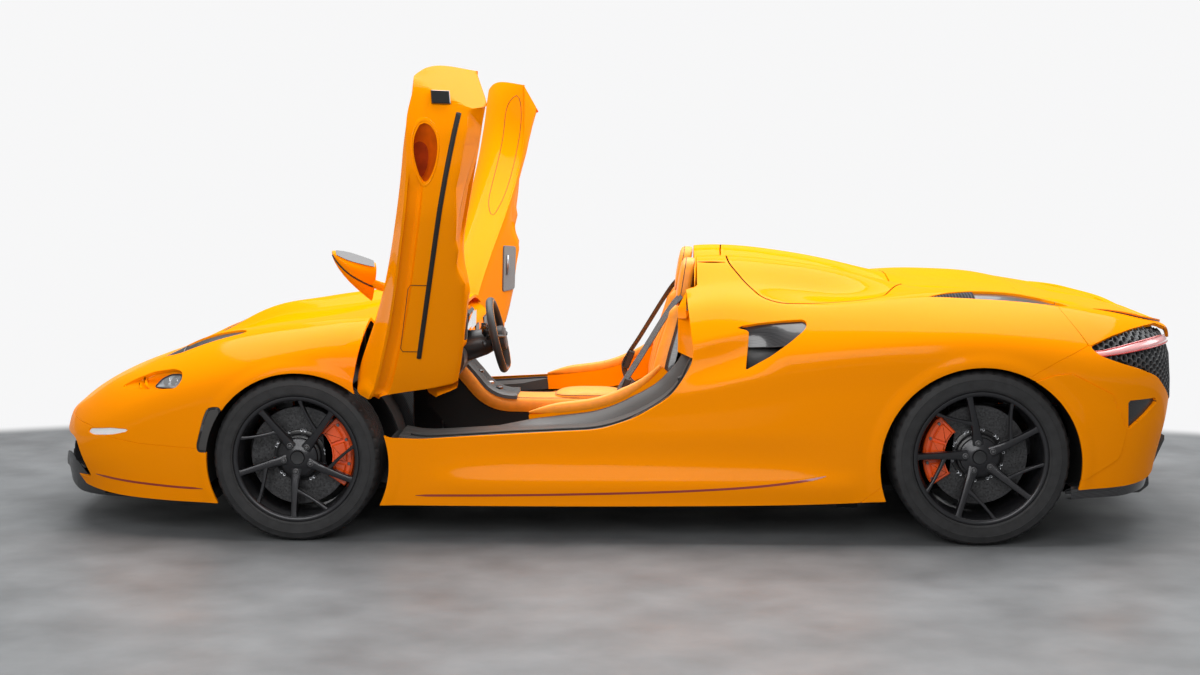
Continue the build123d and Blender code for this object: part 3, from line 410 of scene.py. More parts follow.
def clip(points, normals, faces, field):
    """Keeps the part of a triangle mesh where the field is below zero."""
    field = np.where(np.abs(field) < 1e-6, -1e-6, field)
    inside = (field < 0)[faces]
    total = inside.sum(1)
    out = [faces[total == 3]]
    edges = {}
    extra_p, extra_n = [], []

    def cut(i, j):
        key = (i, j) if i < j else (j, i)
        if key not in edges:
            a, b = key
            t = field[a] / (field[a] - field[b])
            extra_p.append(points[a] + t * (points[b] - points[a]))
            extra_n.append(normals[a] + t * (normals[b] - normals[a]))
            edges[key] = len(points) + len(extra_p) - 1
        return edges[key]

    more = []
    crossed = (total == 1) | (total == 2)
    for f, ins in zip(faces[crossed], inside[crossed]):
        alone = int(np.argmax(ins) if ins.sum() == 1 else np.argmin(ins))
        a, b, c = (int(f[(alone + k) % 3]) for k in range(3))
        ab, ac = cut(a, b), cut(a, c)
        more += [(a, ab, ac)] if ins.sum() == 1 else [(ab, b, c), (ab, c, ac)]
    if more:
        out.append(np.array(more))
    if extra_p:
        points = np.vstack([points, extra_p])
        normals = np.vstack([normals, extra_n])
    used, back = np.unique(np.concatenate(out), return_inverse=True)
    return points[used], unit(normals[used], 1e-12), back.reshape(-1, 3)


def rims(faces):
    """Directed border edges of a triangle mesh."""
    pairs = np.concatenate([faces[:, [0, 1]], faces[:, [1, 2]], faces[:, [2, 0]]])
    seen = {(int(a), int(b)) for a, b in pairs}
    return [(a, b) for a, b in seen if (b, a) not in seen]


def loop_of(faces):
    """The longest border loop of a sheet, in order."""
    follow = dict(rims(faces))
    best = []
    while follow:
        start, at = next(iter(follow.items()))
        del follow[start]
        line = [start]
        while at in follow:
            line.append(at)
            at = follow.pop(at)
        if len(line) > len(best):
            best = line
    return best


def flange(points, normals, faces, depth=0.014, bevel=0.0016):
    """Turns the border of a sheet inwards over a small round edge."""
    border = rims(faces)
    if not border:
        return points, normals, faces
    ids = sorted({i for pair in border for i in pair})
    where = {i: k for k, i in enumerate(ids)}
    side = np.zeros((len(ids), 3))
    for a, b in border:
        out = np.cross(points[b] - points[a], normals[a] + normals[b])
        size = np.linalg.norm(out)
        if size > 1e-12:
            side[where[a]] += out / size
            side[where[b]] += out / size
    side = unit(side)
    base_p, base_n = points[ids], normals[ids]
    ring_points = [base_p + side * bevel * 0.7 - base_n * bevel * 0.3, base_p + side * bevel - base_n * bevel,
                   base_p + side * bevel - base_n * depth]
    ring_normals = [unit(base_n + side), unit(side + base_n * 0.1), unit(side)]
    start, n = len(points), len(ids)
    more = []
    for k in range(3):
        for a, b in border:
            a0 = a if k == 0 else start + (k - 1) * n + where[a]
            b0 = b if k == 0 else start + (k - 1) * n + where[b]
            a1, b1 = start + k * n + where[a], start + k * n + where[b]
            more += [(b0, a0, a1), (b0, a1, b1)]
    points, normals = np.vstack([points] + ring_points), np.vstack([normals] + ring_normals)
    return points, normals, np.concatenate([faces, more])


def tube(line, radius, sides=10, closed=False, squash=1.0):
    """A round tube along a line of points."""
    line = np.asarray(line, float)
    n = len(line)
    rad = np.broadcast_to(np.asarray(radius, float), (n,))
    tangent = unit(np.roll(line, -1, 0) - np.roll(line, 1, 0) if closed else np.gradient(line, axis=0))
    up = np.array([0.0, 0.0, 1.0]) if abs(tangent[0][2]) < 0.9 else np.array([0.0, 1.0, 0.0])
    angle = np.arange(sides) * 2 * math.pi / sides
    rings = []
    for i in range(n):
        side = np.cross(tangent[i], up)
        side /= max(np.linalg.norm(side), 1e-9)
        up = np.cross(side, tangent[i])
        around = np.cos(angle)[:, None] * side + np.sin(angle)[:, None] * up * squash
        rings.append(line[i] + rad[i] * around)
    faces = flipped(grid_faces(n, sides, close_rows=closed, close_cols=True))
    return np.concatenate(rings), faces if closed else faces + caps(n, sides)


def lathe(profile, centre=(0, 0, 0), sides=72, axis="Y"):
    """Turns a profile of (radius, offset along the axis) round an axis through a centre."""
    angle = np.arange(sides) * 2 * math.pi / sides
    rows = [np.stack([r * np.cos(angle), np.full(sides, o), r * np.sin(angle)], 1) for r, o in profile]
    order = {"X": [1, 0, 2], "Y": [0, 1, 2], "Z": [0, 2, 1]}[axis]
    points = np.concatenate(rows)[:, order]
    return points + np.asarray(centre, float), grid_faces(len(profile), sides, close_cols=True)


def offset(outline, distance):
    """Moves a counter-clockwise outline outwards."""
    outline = np.asarray(outline, float)
    before = unit(outline - np.roll(outline, 1, axis=0))
    after = unit(np.roll(outline, -1, axis=0) - outline)
    n1 = np.stack([before[:, 1], -before[:, 0]], 1)
    n2 = np.stack([after[:, 1], -after[:, 0]], 1)
    n = unit(n1 + n2)
    reach = distance / np.maximum((n * n1).sum(1), 0.5)
    return outline + n * reach[:, None]


def slab(outline, low, high, bevel=0.002, plane="XZ"):
    """A plate with eased edges; outline is 2-D, low and high run along the third axis."""
    outline = np.asarray(outline, float)
    after = np.roll(outline, -1, axis=0)
    area = 0.5 * np.sum(outline[:, 0] * after[:, 1] - after[:, 0] * outline[:, 1])
    if area < 0:
        outline = outline[::-1]
    inner = offset(outline, -bevel)
    n = len(outline)
    points = []
    for line, level in ((inner, low), (outline, low + bevel), (outline, high - bevel), (inner, high)):
        flat = np.hstack([line, np.full((n, 1), level)])
        points.append(flat[:, [0, 2, 1]] if plane == "XZ" else flat)
    faces = grid_faces(4, n, close_cols=True) + flipped(caps(4, n))
    return np.concatenate(points), flipped(faces) if plane == "XZ" else faces


# ---------------------------------------------------------------------------------------------
# Body surface: rows from nose to tail, each a half section from sill to centre line
# ---------------------------------------------------------------------------------------------
# x, then (y, z) of sill, waist, shoulder, crest, valley, fairing and ridge, then the centre's z.
# At the ends x is one value for each point.
ROWS = [
    ((-2.292, -2.300, -2.302, -2.297, -2.289, -2.279, -2.270), (0, 0.215), (0, 0.29), (0, 0.36), (0, 0.415),
     (0, 0.434), (0, 0.449), 0.459),
    ((-2.280, -2.292, -2.292, -2.282, -2.263, -2.248, -2.238), (0.26, 0.212), (0.28, 0.29), (0.285, 0.36),
     (0.27, 0.424), (0.21, 0.455), (0.12, 0.475), 0.485),
    ((-2.225, -2.238, -2.234, -2.216, -2.196, -2.186, -2.180), (0.50, 0.21), (0.53, 0.29), (0.535, 0.375),
     (0.50, 0.455), (0.38, 0.496), (0.20, 0.522), 0.530),
    ((-2.13, -2.142, -2.134, -2.116, -2.10, -2.10, -2.10), (0.69, 0.188), (0.728, 0.30), (0.722, 0.41),
     (0.645, 0.510), (0.45, 0.552), (0.22, 0.570), 0.576),
    (-2.0, (0.80, 0.168), (0.842, 0.33), (0.826, 0.47), (0.715, 0.588), (0.49, 0.602), (0.24, 0.612), 0.618),
    (-1.8, (0.872, 0.154), (0.905, 0.39), (0.884, 0.57), (0.745, 0.680), (0.50, 0.666), (0.26, 0.680), 0.686),
    (-1.55, (0.915, 0.148), (0.945, 0.47), (0.922, 0.65), (0.745, 0.776), (0.49, 0.744), (0.26, 0.745),
     0.752),
    (-1.2, (0.930, 0.146), (0.966, 0.54), (0.944, 0.735), (0.748, 0.846), (0.49, 0.800), (0.26, 0.800),
     0.806),
    (-0.93, (0.930, 0.146), (0.952, 0.54), (0.928, 0.745), (0.758, 0.862), (0.56, 0.836), (0.30, 0.852),
     0.858),
    (-0.56, (0.938, 0.147), (0.926, 0.45), (0.914, 0.64), (0.775, 0.806), (0.60, 0.812), (0.30, 0.868),
     0.876),
    (-0.15, (0.940, 0.148), (0.922, 0.455), (0.905, 0.62), (0.775, 0.758), (0.60, 0.762), (0.33, 0.86), 0.85),
    (0.12, (0.942, 0.150), (0.925, 0.48), (0.908, 0.65), (0.778, 0.808), (0.602, 0.838), (0.36, 0.98), 0.88),
    (0.28, (0.944, 0.152), (0.930, 0.498), (0.916, 0.685), (0.785, 0.878), (0.605, 0.955), (0.370, 1.072),
     0.925),
    (0.42, (0.946, 0.154), (0.936, 0.512), (0.920, 0.712), (0.792, 0.905), (0.606, 0.996), (0.370, 1.094),
     0.935),
    (0.70, (0.950, 0.160), (0.946, 0.56), (0.934, 0.745), (0.800, 0.905), (0.598, 0.978), (0.362, 1.076),
     0.930),
    (1.00, (0.952, 0.172), (0.964, 0.60), (0.952, 0.785), (0.780, 0.932), (0.565, 0.944), (0.322, 1.024),
     0.914),
    (1.25, (0.953, 0.190), (0.970, 0.60), (0.958, 0.805), (0.752, 0.950), (0.595, 0.972), (0.300, 0.968),
     0.940),
    (1.46, (0.953, 0.205), (0.971, 0.60), (0.958, 0.805), (0.762, 0.941), (0.605, 0.973), (0.280, 0.950),
     0.936),
    (1.65, (0.945, 0.212), (0.967, 0.59), (0.950, 0.79), (0.760, 0.928), (0.605, 0.959), (0.260, 0.930),
     0.918),
    (1.85, (0.930, 0.225), (0.954, 0.56), (0.934, 0.76), (0.744, 0.909), (0.580, 0.915), (0.240, 0.902),
     0.895),
    (2.02, (0.885, 0.232), (0.912, 0.53), (0.895, 0.735), (0.715, 0.881), (0.480, 0.878), (0.230, 0.876),
     0.873),
    ((2.13, 2.150, 2.155, 2.155, 2.155, 2.155, 2.155), (0.790, 0.245), (0.825, 0.50), (0.812, 0.72),
     (0.665, 0.850), (0.440, 0.855), (0.218, 0.857), 0.857),
    ((2.19, 2.225, 2.238, 2.240, 2.240, 2.240, 2.240), (0.66, 0.262), (0.70, 0.49), (0.69, 0.70),
     (0.585, 0.822), (0.40, 0.832), (0.20, 0.835), 0.836),
    ((2.225, 2.268, 2.288, 2.292, 2.292, 2.292, 2.292), (0.47, 0.285), (0.50, 0.48), (0.49, 0.685),
     (0.43, 0.79), (0.30, 0.805), (0.15, 0.808), 0.808),
]
STEP = 0.012
SIDE, PLAN = (0, 2), (0, 1)


def surface(rows, columns=(22, 20, 20, 22, 20, 22)):
    """The smooth half surface as a grid of points, y positive."""
    nodes = []
    for row in rows:
        xs = row[0] if isinstance(row[0], tuple) else (row[0],) * 7
        nodes.append([(x, y, z) for x, (y, z) in zip(xs, row[1:7] + ((0.0, row[7]),))])
    nodes = np.array(nodes, float)
    steps = np.sqrt(((nodes[1:] - nodes[:-1]) ** 2).sum(2).mean(1))
    knots = np.concatenate([[0], np.cumsum(steps)])
    at = np.linspace(0, knots[-1], int(knots[-1] / STEP) + 1)
    lines = spline_rows(knots, nodes.reshape(len(nodes), -1), at).reshape(-1, 7, 3)
    first = lines[:, 0] + np.array([0, -0.02, -0.08])
    last = lines[:, 5] * MIRROR
    p = [first] + [lines[:, k] for k in range(7)] + [last]
    parts = []
    for k in range(6):
        t = np.linspace(0, 1, columns[k] + 1)
        parts.append(segment(p[k], p[k + 1], p[k + 2], p[k + 3], t[:-1] if k < 5 else t))
    return np.concatenate(parts, axis=1)


def bump(x, centre, width):
    """A smooth hump of height 1, zero beyond its width either side of a centre."""
    u = np.clip(np.abs(x - centre) / width, 0, 1)
    return (1 - u * u) ** 2


def rise(x, low, high):
    """Climbs smoothly from 0 at low to 1 at high."""
    t = np.clip((x - low) / (high - low), 0, 1)
    return t * t * (3 - 2 * t)


def sculpt(p):
    """Adds the lips of arches and sill, the side's hollow, the intake's channel and the vent's rim."""
    x, y, z = p[..., 0], p[..., 1], p[..., 2]
    side = rise(y, 0.80, 0.88)
    hollow = 0.010 * bump(z, 0.34, 0.10) * rise(x, -0.8, -0.3) * (1 - rise(x, 0.6, 1.0)) * side
    vent = 0.026 * bump(y, 0.650, 0.11) * bump(x, -1.64, 0.30)
    front_lip = bump(np.hypot(x + 1.205, z - 0.310), 0.372, 0.045)
    rear_lip = bump(np.hypot(x - 1.4595, z - 0.314), 0.402, 0.045)
    line = 0.70 + 0.24 * (x - 0.2)
    channel = 0.030 * bump(z, line - 0.045, 0.10) * rise(x, 0.10, 0.45) * (1 - rise(x, 0.56, 0.72)) * side
    sill = 0.010 * bump(z, 0.235, 0.07) * rise(x, -0.8, -0.5) * (1 - rise(x, 0.9, 1.05)) * side
    out = p.copy()
    out[..., 1] = y - hollow - channel + sill + 0.007 * (front_lip + rear_lip) * side
    out[..., 2] = z + vent
    return out


def sheet(rows):
    """Points, normals and triangles of the right half of the body."""
    p = sculpt(surface(rows))
    n, m = p.shape[:2]
    points = p.reshape(-1, 3)
    faces = triangles(grid_faces(n, m))[:, [0, 2, 1]]
    normals = vertex_normals(points, faces)
    a, b, c = (points[faces[:, k]] for k in range(3))
    faces = faces[np.linalg.norm(np.cross(b - a, c - a), axis=1) > 1e-9]
    mid = normals[len(normals) // 2]
    if mid[1] < 0 and abs(mid[1]) > 0.2 or normals[m * (n // 2) + m - 2][2] < 0:
        faces = faces[:, ::-1]
        normals = -normals
    normals[np.abs(points[:, 1]) < 1e-5, 1] = 0
    return points, normals, faces


BODY = sheet(ROWS)
BODY_TREE = BVHTree.FromPolygons([tuple(p) for p in BODY[0]], [tuple(int(i) for i in f) for f in BODY[2]])


def trimmed(source, fields):
    """Cuts a sheet by functions of its points, each negative where the sheet stays."""
    for field in fields:
        source = clip(*source, field(source[0]))
    return source


def within(outline, gap=0.002, axes=SIDE):
    return lambda p: outline_distance(p[:, axes], outline) + gap


def beyond(outline, gap=0.002, axes=SIDE):
    return lambda p: gap - outline_distance(p[:, axes], outline)


def both(points, normals, faces):
    """Joins a right-hand sheet with its mirror image, welded along the centre line."""
    p, f = Mesh().add(points, faces).add(points * MIRROR, faces[:, ::-1]).merged()
    n = np.vstack([normals, normals * MIRROR])
    weld = {}
    keys = np.round(p * 2e4).astype(int)
    index = np.arange(len(p))
    for i in np.nonzero(np.abs(p[:, 1]) < 1e-4)[0]:
        index[i] = weld.setdefault(tuple(keys[i]), i)
    return p, n, np.array([[index[i] for i in t] for t in f])


def panel(name, part, mat=PAINT, body="root", slot="paint", stands_for=(), depth=0.014, bevel=0.0016):
    """A sheet on both sides of the car, with its edges turned in."""
    points, normals, faces = flange(*both(*part), depth, bevel)
    return piece(name, points, faces, mat, body, slot, stands_for, normals)


def project(flat, axes=SIDE):
    """Points and normals on the body's right half for flat points seen from its side or above."""
    flat = np.asarray(flat, float)
    toward = 3 - sum(axes)
    ray = np.zeros(3)
    ray[toward] = -1.0
    points, normals = np.zeros((len(flat), 3)), np.zeros((len(flat), 3))
    for k, spot in enumerate(flat):
        start = np.zeros(3)
        start[list(axes)], start[toward] = spot, 2.0
        hit, _, index, _ = BODY_TREE.ray_cast(Vector(start), Vector(ray))
        if hit is None:
            hit, _, index, _ = BODY_TREE.find_nearest(Vector(np.where(np.arange(3) == toward, 0.9, start)))
        corners = BODY[0][BODY[2][index]]
        weight = 1 / (np.linalg.norm(corners - np.array(hit), axis=1) + 1e-5)
        points[k] = hit
        normals[k] = (BODY[1][BODY[2][index]] * weight[:, None]).sum(0)
    normals /= np.linalg.norm(normals, axis=1)[:, None]
    return points, normals


def patch(outline, step=0.005, axes=SIDE, shrink=0.0, fields=()):
    """A fine sheet that lies on the body inside an outline."""
    low, high = outline.min(0) - step, outline.max(0) + step
    nu, nv = (int(v) + 2 for v in (high - low) / step)
    u, v = np.meshgrid(np.linspace(low[0], high[0], nu), np.linspace(low[1], high[1], nv), indexing="ij")
    flat = np.stack([u.ravel(), v.ravel()], 1)
    quads = np.array(grid_faces(nu, nv))
    near = outline_distance(flat, outline) < step * 2
    used, back = np.unique(quads[near[quads].any(1)], return_inverse=True)
    points, normals = project(flat[used], axes)
    faces = triangles(back.reshape(-1, 4))
    a, b, c = (points[faces[:, k]] for k in range(3))
    if (np.cross(b - a, c - a) * normals[faces[:, 0]]).sum() < 0:
        faces = faces[:, ::-1]
    return trimmed((points, normals, faces), [*fields, within(outline, shrink, axes)])


def sunk(part, depth):
    """A sheet moved inwards along its normals."""
    points, normals, faces = part
    return points - normals * depth, normals, faces


def ribbon(name, line, half, mat, axes=SIDE, lift=0.0008, slot="paint"):
    """A thin stripe on the body along a line, half its width either side."""
    line = smooth_line(line, 0.02)
    across = path_normals(line)
    steps = np.arange(len(line))
    taper = np.minimum(1.0, np.minimum(steps, steps[::-1]) / 3 + 0.25)[:, None]
    rows = []
    for f in (-1.0, 0.0, 1.0):
        points, normals = project(line + across * half * f * taper, axes)
        rows.append(points + normals * lift)
    on_both_sides(name, np.concatenate(rows), grid_faces(3, len(line)), mat, slot)


def circle(x, z, radius, count=96):
    a = np.arange(count) * 2 * math.pi / count
    return np.stack([x + radius * np.cos(a), z + radius * np.sin(a)], 1)


FRONT_ARCH = circle(-1.205, 0.310, 0.362)
REAR_ARCH = circle(1.4595, 0.314, 0.392)
DOOR = rounded([(-0.985, 0.600), (-0.925, 0.960), (-0.925, 1.3), (0.312, 1.3), (0.312, 1.010), (0.348, 0.722),
                (0.300, 0.640), (0.245, 0.572), (0.120, 0.496), (-0.020, 0.450), (-0.380, 0.428),
                (-0.729, 0.409), (-0.870, 0.418)], 0.05)

# ---------------------------------------------------------------------------------------------
# Painted panels, vents and lamps. Side outlines are (x, z), plans are (x, y) with y positive
# ---------------------------------------------------------------------------------------------
COCKPIT = rounded([(-0.62, -0.10), (-0.62, 0.607), (0.362, 0.607), (0.362, -0.10)], 0.012)
HOOD_VENT = rounded([(-1.862, 0.660), (-1.72, 0.742), (-1.46, 0.748), (-1.435, 0.735), (-1.46, 0.690),
                     (-1.70, 0.640), (-1.85, 0.590)], 0.03)
SCOOP = rounded([(-1.945, 0.588), (-1.877, 0.624), (-1.795, 0.656), (-1.705, 0.672), (-1.668, 0.664),
                 (-1.664, 0.636), (-1.686, 0.601), (-1.772, 0.592), (-1.86, 0.588)], 0.02)
MARKER = rounded([(-1.600, 0.352), (-1.606, 0.377), (-1.576, 0.486), (-1.556, 0.532), (-1.500, 0.536),
                  (-1.500, 0.352)], 0.02)
LENS = rounded([(-1.790, 0.607), (-1.762, 0.640), (-1.724, 0.657), (-1.680, 0.660), (-1.668, 0.640),
                (-1.688, 0.605)], 0.012)
DRL = rounded([(-2.078, 0.408), (-2.066, 0.424), (-1.960, 0.436), (-1.888, 0.434), (-1.895, 0.424),
               (-1.965, 0.408), (-2.05, 0.400)], 0.012)
CORNER_DUCT = rounded([(-2.40, 0.225), (-2.40, 0.385), (-2.150, 0.378), (-2.070, 0.215)], 0.03)
LID = rounded([(0.478, -0.2), (0.480, 0.30), (0.491, 0.47), (0.537, 0.560), (0.619, 0.716), (0.690, 0.752),
               (0.846, 0.745), (1.021, 0.738), (1.085, 0.70), (1.135, 0.56), (1.215, 0.36), (1.222, -0.2)],
              0.05)
DECK_VENT = rounded([(1.270, 0.735), (1.36, 0.676), (1.46, 0.632), (1.60, 0.618), (1.745, 0.632),
                     (1.836, 0.722), (1.780, 0.738), (1.46, 0.742)], 0.012)
INTAKE = rounded([(0.500, 0.846), (0.600, 0.862), (0.700, 0.872), (0.776, 0.877), (0.790, 0.862),
                  (0.780, 0.840), (0.720, 0.792), (0.640, 0.735), (0.545, 0.682), (0.556, 0.770),
                  (0.560, 0.832)], 0.010)
LAMP = rounded([(1.868, 0.783), (1.965, 0.817), (2.060, 0.838), (2.125, 0.845), (2.60, 0.86), (2.60, 0.50),
                (2.262, 0.520), (2.215, 0.585), (2.155, 0.655), (2.075, 0.690), (1.975, 0.722),
                (1.910, 0.746)], 0.02)
DECK_PLAN = [(0.5, -0.1), (2.318, -0.1), (2.312, 0.30), (2.300, 0.43), (2.240, 0.580), (2.150, 0.660),
             (2.02, 0.710), (1.85, 0.728), (0.5, 0.728)]
SIDE_VENT = rounded([(2.026, 0.572), (2.152, 0.574), (2.157, 0.553), (2.102, 0.507), (2.030, 0.455)], 0.006)


def pane(name, outline, mat, inset, gap=0.0, slot="lamp", extra=(), depth=0.010):
    """A piece of the body's own surface inside an outline, pushed in by an inset."""
    part = patch(outline, shrink=gap, fields=extra)
    panel(name, sunk(part, inset), mat, slot=slot, depth=depth, bevel=0.001)


def split(source, line, gap=0.0035):
    """Cuts a sheet in two along a line seen from the side: the part on its left, then its right."""
    line = np.asarray(line, float)

    def signed(p):
        q = p[:, SIDE]
        best = np.full(len(q), 1e9)
        sign = np.ones(len(q))
        for k, (a, b) in enumerate(zip(line, line[1:])):
            d = b - a
            t = ((q - a) @ d) / (d @ d)
            t = np.clip(t, -1e9 if k == 0 else 0.0, 1e9 if k == len(line) - 2 else 1.0)
            dist = np.linalg.norm(q - a - t[:, None] * d, axis=1)
            turn = d[0] * (q[:, 1] - a[1]) - d[1] * (q[:, 0] - a[0])
            near = dist < best - 1e-9
            best = np.where(near, dist, best)
            sign = np.where(near, np.where(turn >= 0, 1.0, -1.0), sign)
        return best * sign

    return trimmed(source, [lambda p: gap / 2 - signed(p)]), trimmed(source, [lambda p: signed(p) + gap / 2])


def where_only(keep, field):
    """A cutting field that works only where a test of the points holds."""
    return lambda p: np.where(keep(p), field(p), -1.0)


def on_flank(p):
    return p[:, 1] > 0.5


def below_middle(p):
    return p[:, 2] < 0.45


# Front, then sides and tail: the door and the cockpit are cut out of both
MIDDLE_X, SIDE_LINE_Z = -0.9, 0.62
LID_GAP = 0.0042
OPENINGS = [lambda p: np.minimum(beyond(DOOR, 0.0025)(p), p[:, 1] - 0.604),
            lambda p: np.minimum(0.002 - outline_distance(p[:, PLAN], COCKPIT), p[:, 2] - SIDE_LINE_Z)]
front = trimmed(BODY, [lambda p: p[:, 0], lambda p: np.minimum(p[:, 0] - MIDDLE_X, SIDE_LINE_Z - p[:, 2]),
                       beyond(FRONT_ARCH, 0.0), *OPENINGS,
                       where_only(on_flank, beyond(SCOOP, 0.0)), where_only(on_flank, beyond(MARKER)),
                       where_only(on_flank, beyond(DRL)), beyond(HOOD_VENT, 0.0, PLAN),
                       where_only(below_middle, beyond(CORNER_DUCT, 0.0))])
BUMPER_LINE = [(-2.45, 0.452), (-2.20, 0.446), (-2.07, 0.436), (-1.99, 0.402), (-1.84, 0.380), (-1.60, 0.366),
               (-1.50, 0.366)]
upper, bumper = split(front, BUMPER_LINE)
panel("front_clamshell_panel", upper, stands_for=("front_clamshell",))
panel("front_bumper_panel", trimmed(bumper, [lambda p: p[:, 0] + 1.35]), stands_for=("front_bumper",))

side = trimmed(BODY, [lambda p: MIDDLE_X - p[:, 0], lambda p: np.minimum(-p[:, 0], p[:, 2] - SIDE_LINE_Z),
                      beyond(REAR_ARCH, 0.0), beyond(FRONT_ARCH, 0.0), *OPENINGS,
                      beyond(LID, LID_GAP, PLAN), beyond(DECK_VENT, 0.0, PLAN),
                      where_only(on_flank, beyond(INTAKE, 0.0)),
                      lambda p: np.minimum(beyond(LAMP, 0.0)(p), within(DECK_PLAN, 0.0, PLAN)(p)),
                      beyond(SIDE_VENT, 0.0)])
TAIL_LINE = [(1.772, 1.30), (1.784, 0.912), (1.868, 0.786), (1.749, 0.730), (1.55, 0.622), (1.40, 0.50)]
tail, body_side = split(side, TAIL_LINE)
tail_low, tail_top = split(tail, [(2.60, 0.76), (1.868, 0.7845), (1.50, 0.7845)])
panel("rear_quarter_panel", body_side, stands_for=("rear_clamshell",))
panel("tail_deck_panel", tail_top, stands_for=("tail_deck",))
PLATE = rounded([(1.500, 0.640), (1.673, 0.656), (1.725, 0.674), (1.795, 0.682), (1.908, 0.625),
                 (2.006, 0.574), (2.024, 0.545), (2.026, 0.463), (2.000, 0.345), (1.86, 0.262),
                 (1.50, 0.262)], 0.02)
PLATE_GAP, PLATE_LIFT = 0.0018, 0.004
panel("rear_corner_panel", sunk(trimmed(tail_low, [within(PLATE, PLATE_GAP)]), -PLATE_LIFT))
panel("rear_bumper_panel", trimmed(tail_low, [beyond(PLATE, PLATE_GAP)]), stands_for=("rear_bumper",))
lid = trimmed(BODY, [lambda p: 0.2 - p[:, 0], within(LID, LID_GAP, PLAN)])
panel("tonneau_panel", lid, body="tonneau", stands_for=("tonneau_lid",))


def recess(name, outline, depth, mat, axes=SIDE, slot="black_trim", stands_for=(), extra=(), wall=None):
    """A floor pushed in under an opening, with walls up to the opening's rim."""
    points, normals, faces = patch(outline, 0.012, axes, 0.0, extra)
    depths = depth(points)[:, None] if callable(depth) else depth
    wall_points, wall_normals, all_faces = flange(points, normals, faces, float(np.max(depths)) + 0.002, 0.0)
    wall_points, _, wall_faces = both(wall_points, wall_normals, all_faces[len(faces):, ::-1])
    used, back = np.unique(wall_faces, return_inverse=True)
    piece(name + "_wall", wall_points[used], back.reshape(-1, 3), wall or mat, "root", slot, stands_for)
    floor_points, floor_normals, floor_faces = both(points - normals * depths, normals, faces)
    piece(name, floor_points, floor_faces, mat, "root", slot, (), floor_normals)


# Lamps, vents and intakes
OUTER_FLANK = [lambda p: 0.5 - p[:, 1]]
recess("headlamp_socket", SCOOP, lambda p: 0.004 + 0.052 * rise(p[:, 0], -1.93, -1.74), PAINT,
       extra=OUTER_FLANK, slot="paint")
part = patch(LENS, shrink=0.0, fields=OUTER_FLANK)
panel("headlamp_lens", sunk(part, 0.016), LENS_GLASS, slot="lamp", stands_for=("headlamps",), depth=0.010,
      bevel=0.001)
lens_part = sunk(patch(LENS), 0.0145)
lens_ring = lens_part[0][loop_of(lens_part[2])]
on_both_sides("headlamp_gasket", *tube(lens_ring, 0.0032, 8, closed=True), BLACK, "black_trim")
for number, x in enumerate((-1.742, -1.708)):
    spot = sunk(patch(circle(x, 0.632, 0.014, 32), 0.004), 0.0145)
    panel("headlamp_spot_%d" % (number + 1), spot, REFLECTOR, slot="lamp", depth=0.002, bevel=0.0005)
recess("fender_vent_floor", HOOD_VENT, 0.009, BLACK, axes=PLAN, stands_for=("black_vents",))
insert = patch(HOOD_VENT, 0.008, PLAN, 0.006, [lambda p: p[:, 0] + 1.70])
panel("fender_vent_insert", sunk(insert, 0.005), CARBON, slot="carbon", depth=0.003)
recess("corner_duct_floor", CORNER_DUCT, 0.085, BLACK, extra=[lambda p: p[:, 2] - 0.45])
recess("deck_vent_floor", DECK_VENT, 0.010, CARBON, axes=PLAN, slot="carbon", wall=BLACK)
recess("side_vent_floor", SIDE_VENT, 0.014, CARBON, slot="carbon", wall=BLACK)
recess("intake_floor", INTAKE, 0.095, BLACK, extra=OUTER_FLANK, stands_for=("side_intakes",))
BLADE = rounded([(0.556, 0.772), (0.548, 0.858), (0.640, 0.872), (0.800, 0.890), (0.800, 0.846),
                 (0.742, 0.806), (0.640, 0.786)], 0.01)
blade_part = patch(INTAKE, 0.008, shrink=0.001, fields=[within(BLADE, 0.0)])
blade_depth = 0.012 + 0.030 * (1 - rise(blade_part[0][:, 2], 0.78, 0.87))[:, None]
panel("intake_blade", sunk(blade_part, blade_depth), CARBON, slot="carbon", depth=0.006)

# Near-black, unreflecting strips of painted shade in the shut lines, and red pinstripes
# Near-black with no reflection: painted shade of the gaps between panels
SHUT_GAP_PAINTED_SHADE = material("shut_gap_painted_shade", (0.012, 0.006, 0.003), 0.95, spec=0.0)
LID_EDGE = [tuple(q) for q in LID if q[1] > 0.30 and q[0] > 0.45]
ribbon("tonneau_gap_line", LID_EDGE, 0.0036, SHUT_GAP_PAINTED_SHADE, PLAN, -0.0006, "black_trim")
ribbon("fairing_front_line", [(0.366, 1.072), (0.42, 1.072), (0.478, 1.072)], 0.0022, SHUT_GAP_PAINTED_SHADE,
       slot="black_trim")
QUARTER_EDGE = [(1.780, 1.10), (1.784, 0.912), (1.824, 0.848), (1.868, 0.786)]
ribbon("quarter_gap_line", QUARTER_EDGE, 0.0022, SHUT_GAP_PAINTED_SHADE, SIDE, -0.0006, "black_trim")
ribbon("pinstripe_front", [(-2.05, 0.238), (-1.90, 0.222), (-1.70, 0.208), (-1.585, 0.204)], 0.0045,
       PINSTRIPE)
SILL_STRIPE = [(-0.742, 0.186), (-0.20, 0.194), (0.30, 0.212), (0.62, 0.236), (0.80, 0.262), (0.86, 0.276)]
ribbon("pinstripe_sill", SILL_STRIPE, 0.0045, PINSTRIPE)
MARKER_SIDE = OUTER_FLANK + [beyond(FRONT_ARCH, 0.002)]
pane("side_marker", MARKER, GLOSS, 0.001, 0.0015, extra=MARKER_SIDE)
pane("side_marker_lens", MARKER, TRIM, -0.0006, 0.012, extra=MARKER_SIDE, depth=0.003)
pane("running_light", DRL, LED_WHITE, 0.004, 0.001, extra=OUTER_FLANK)

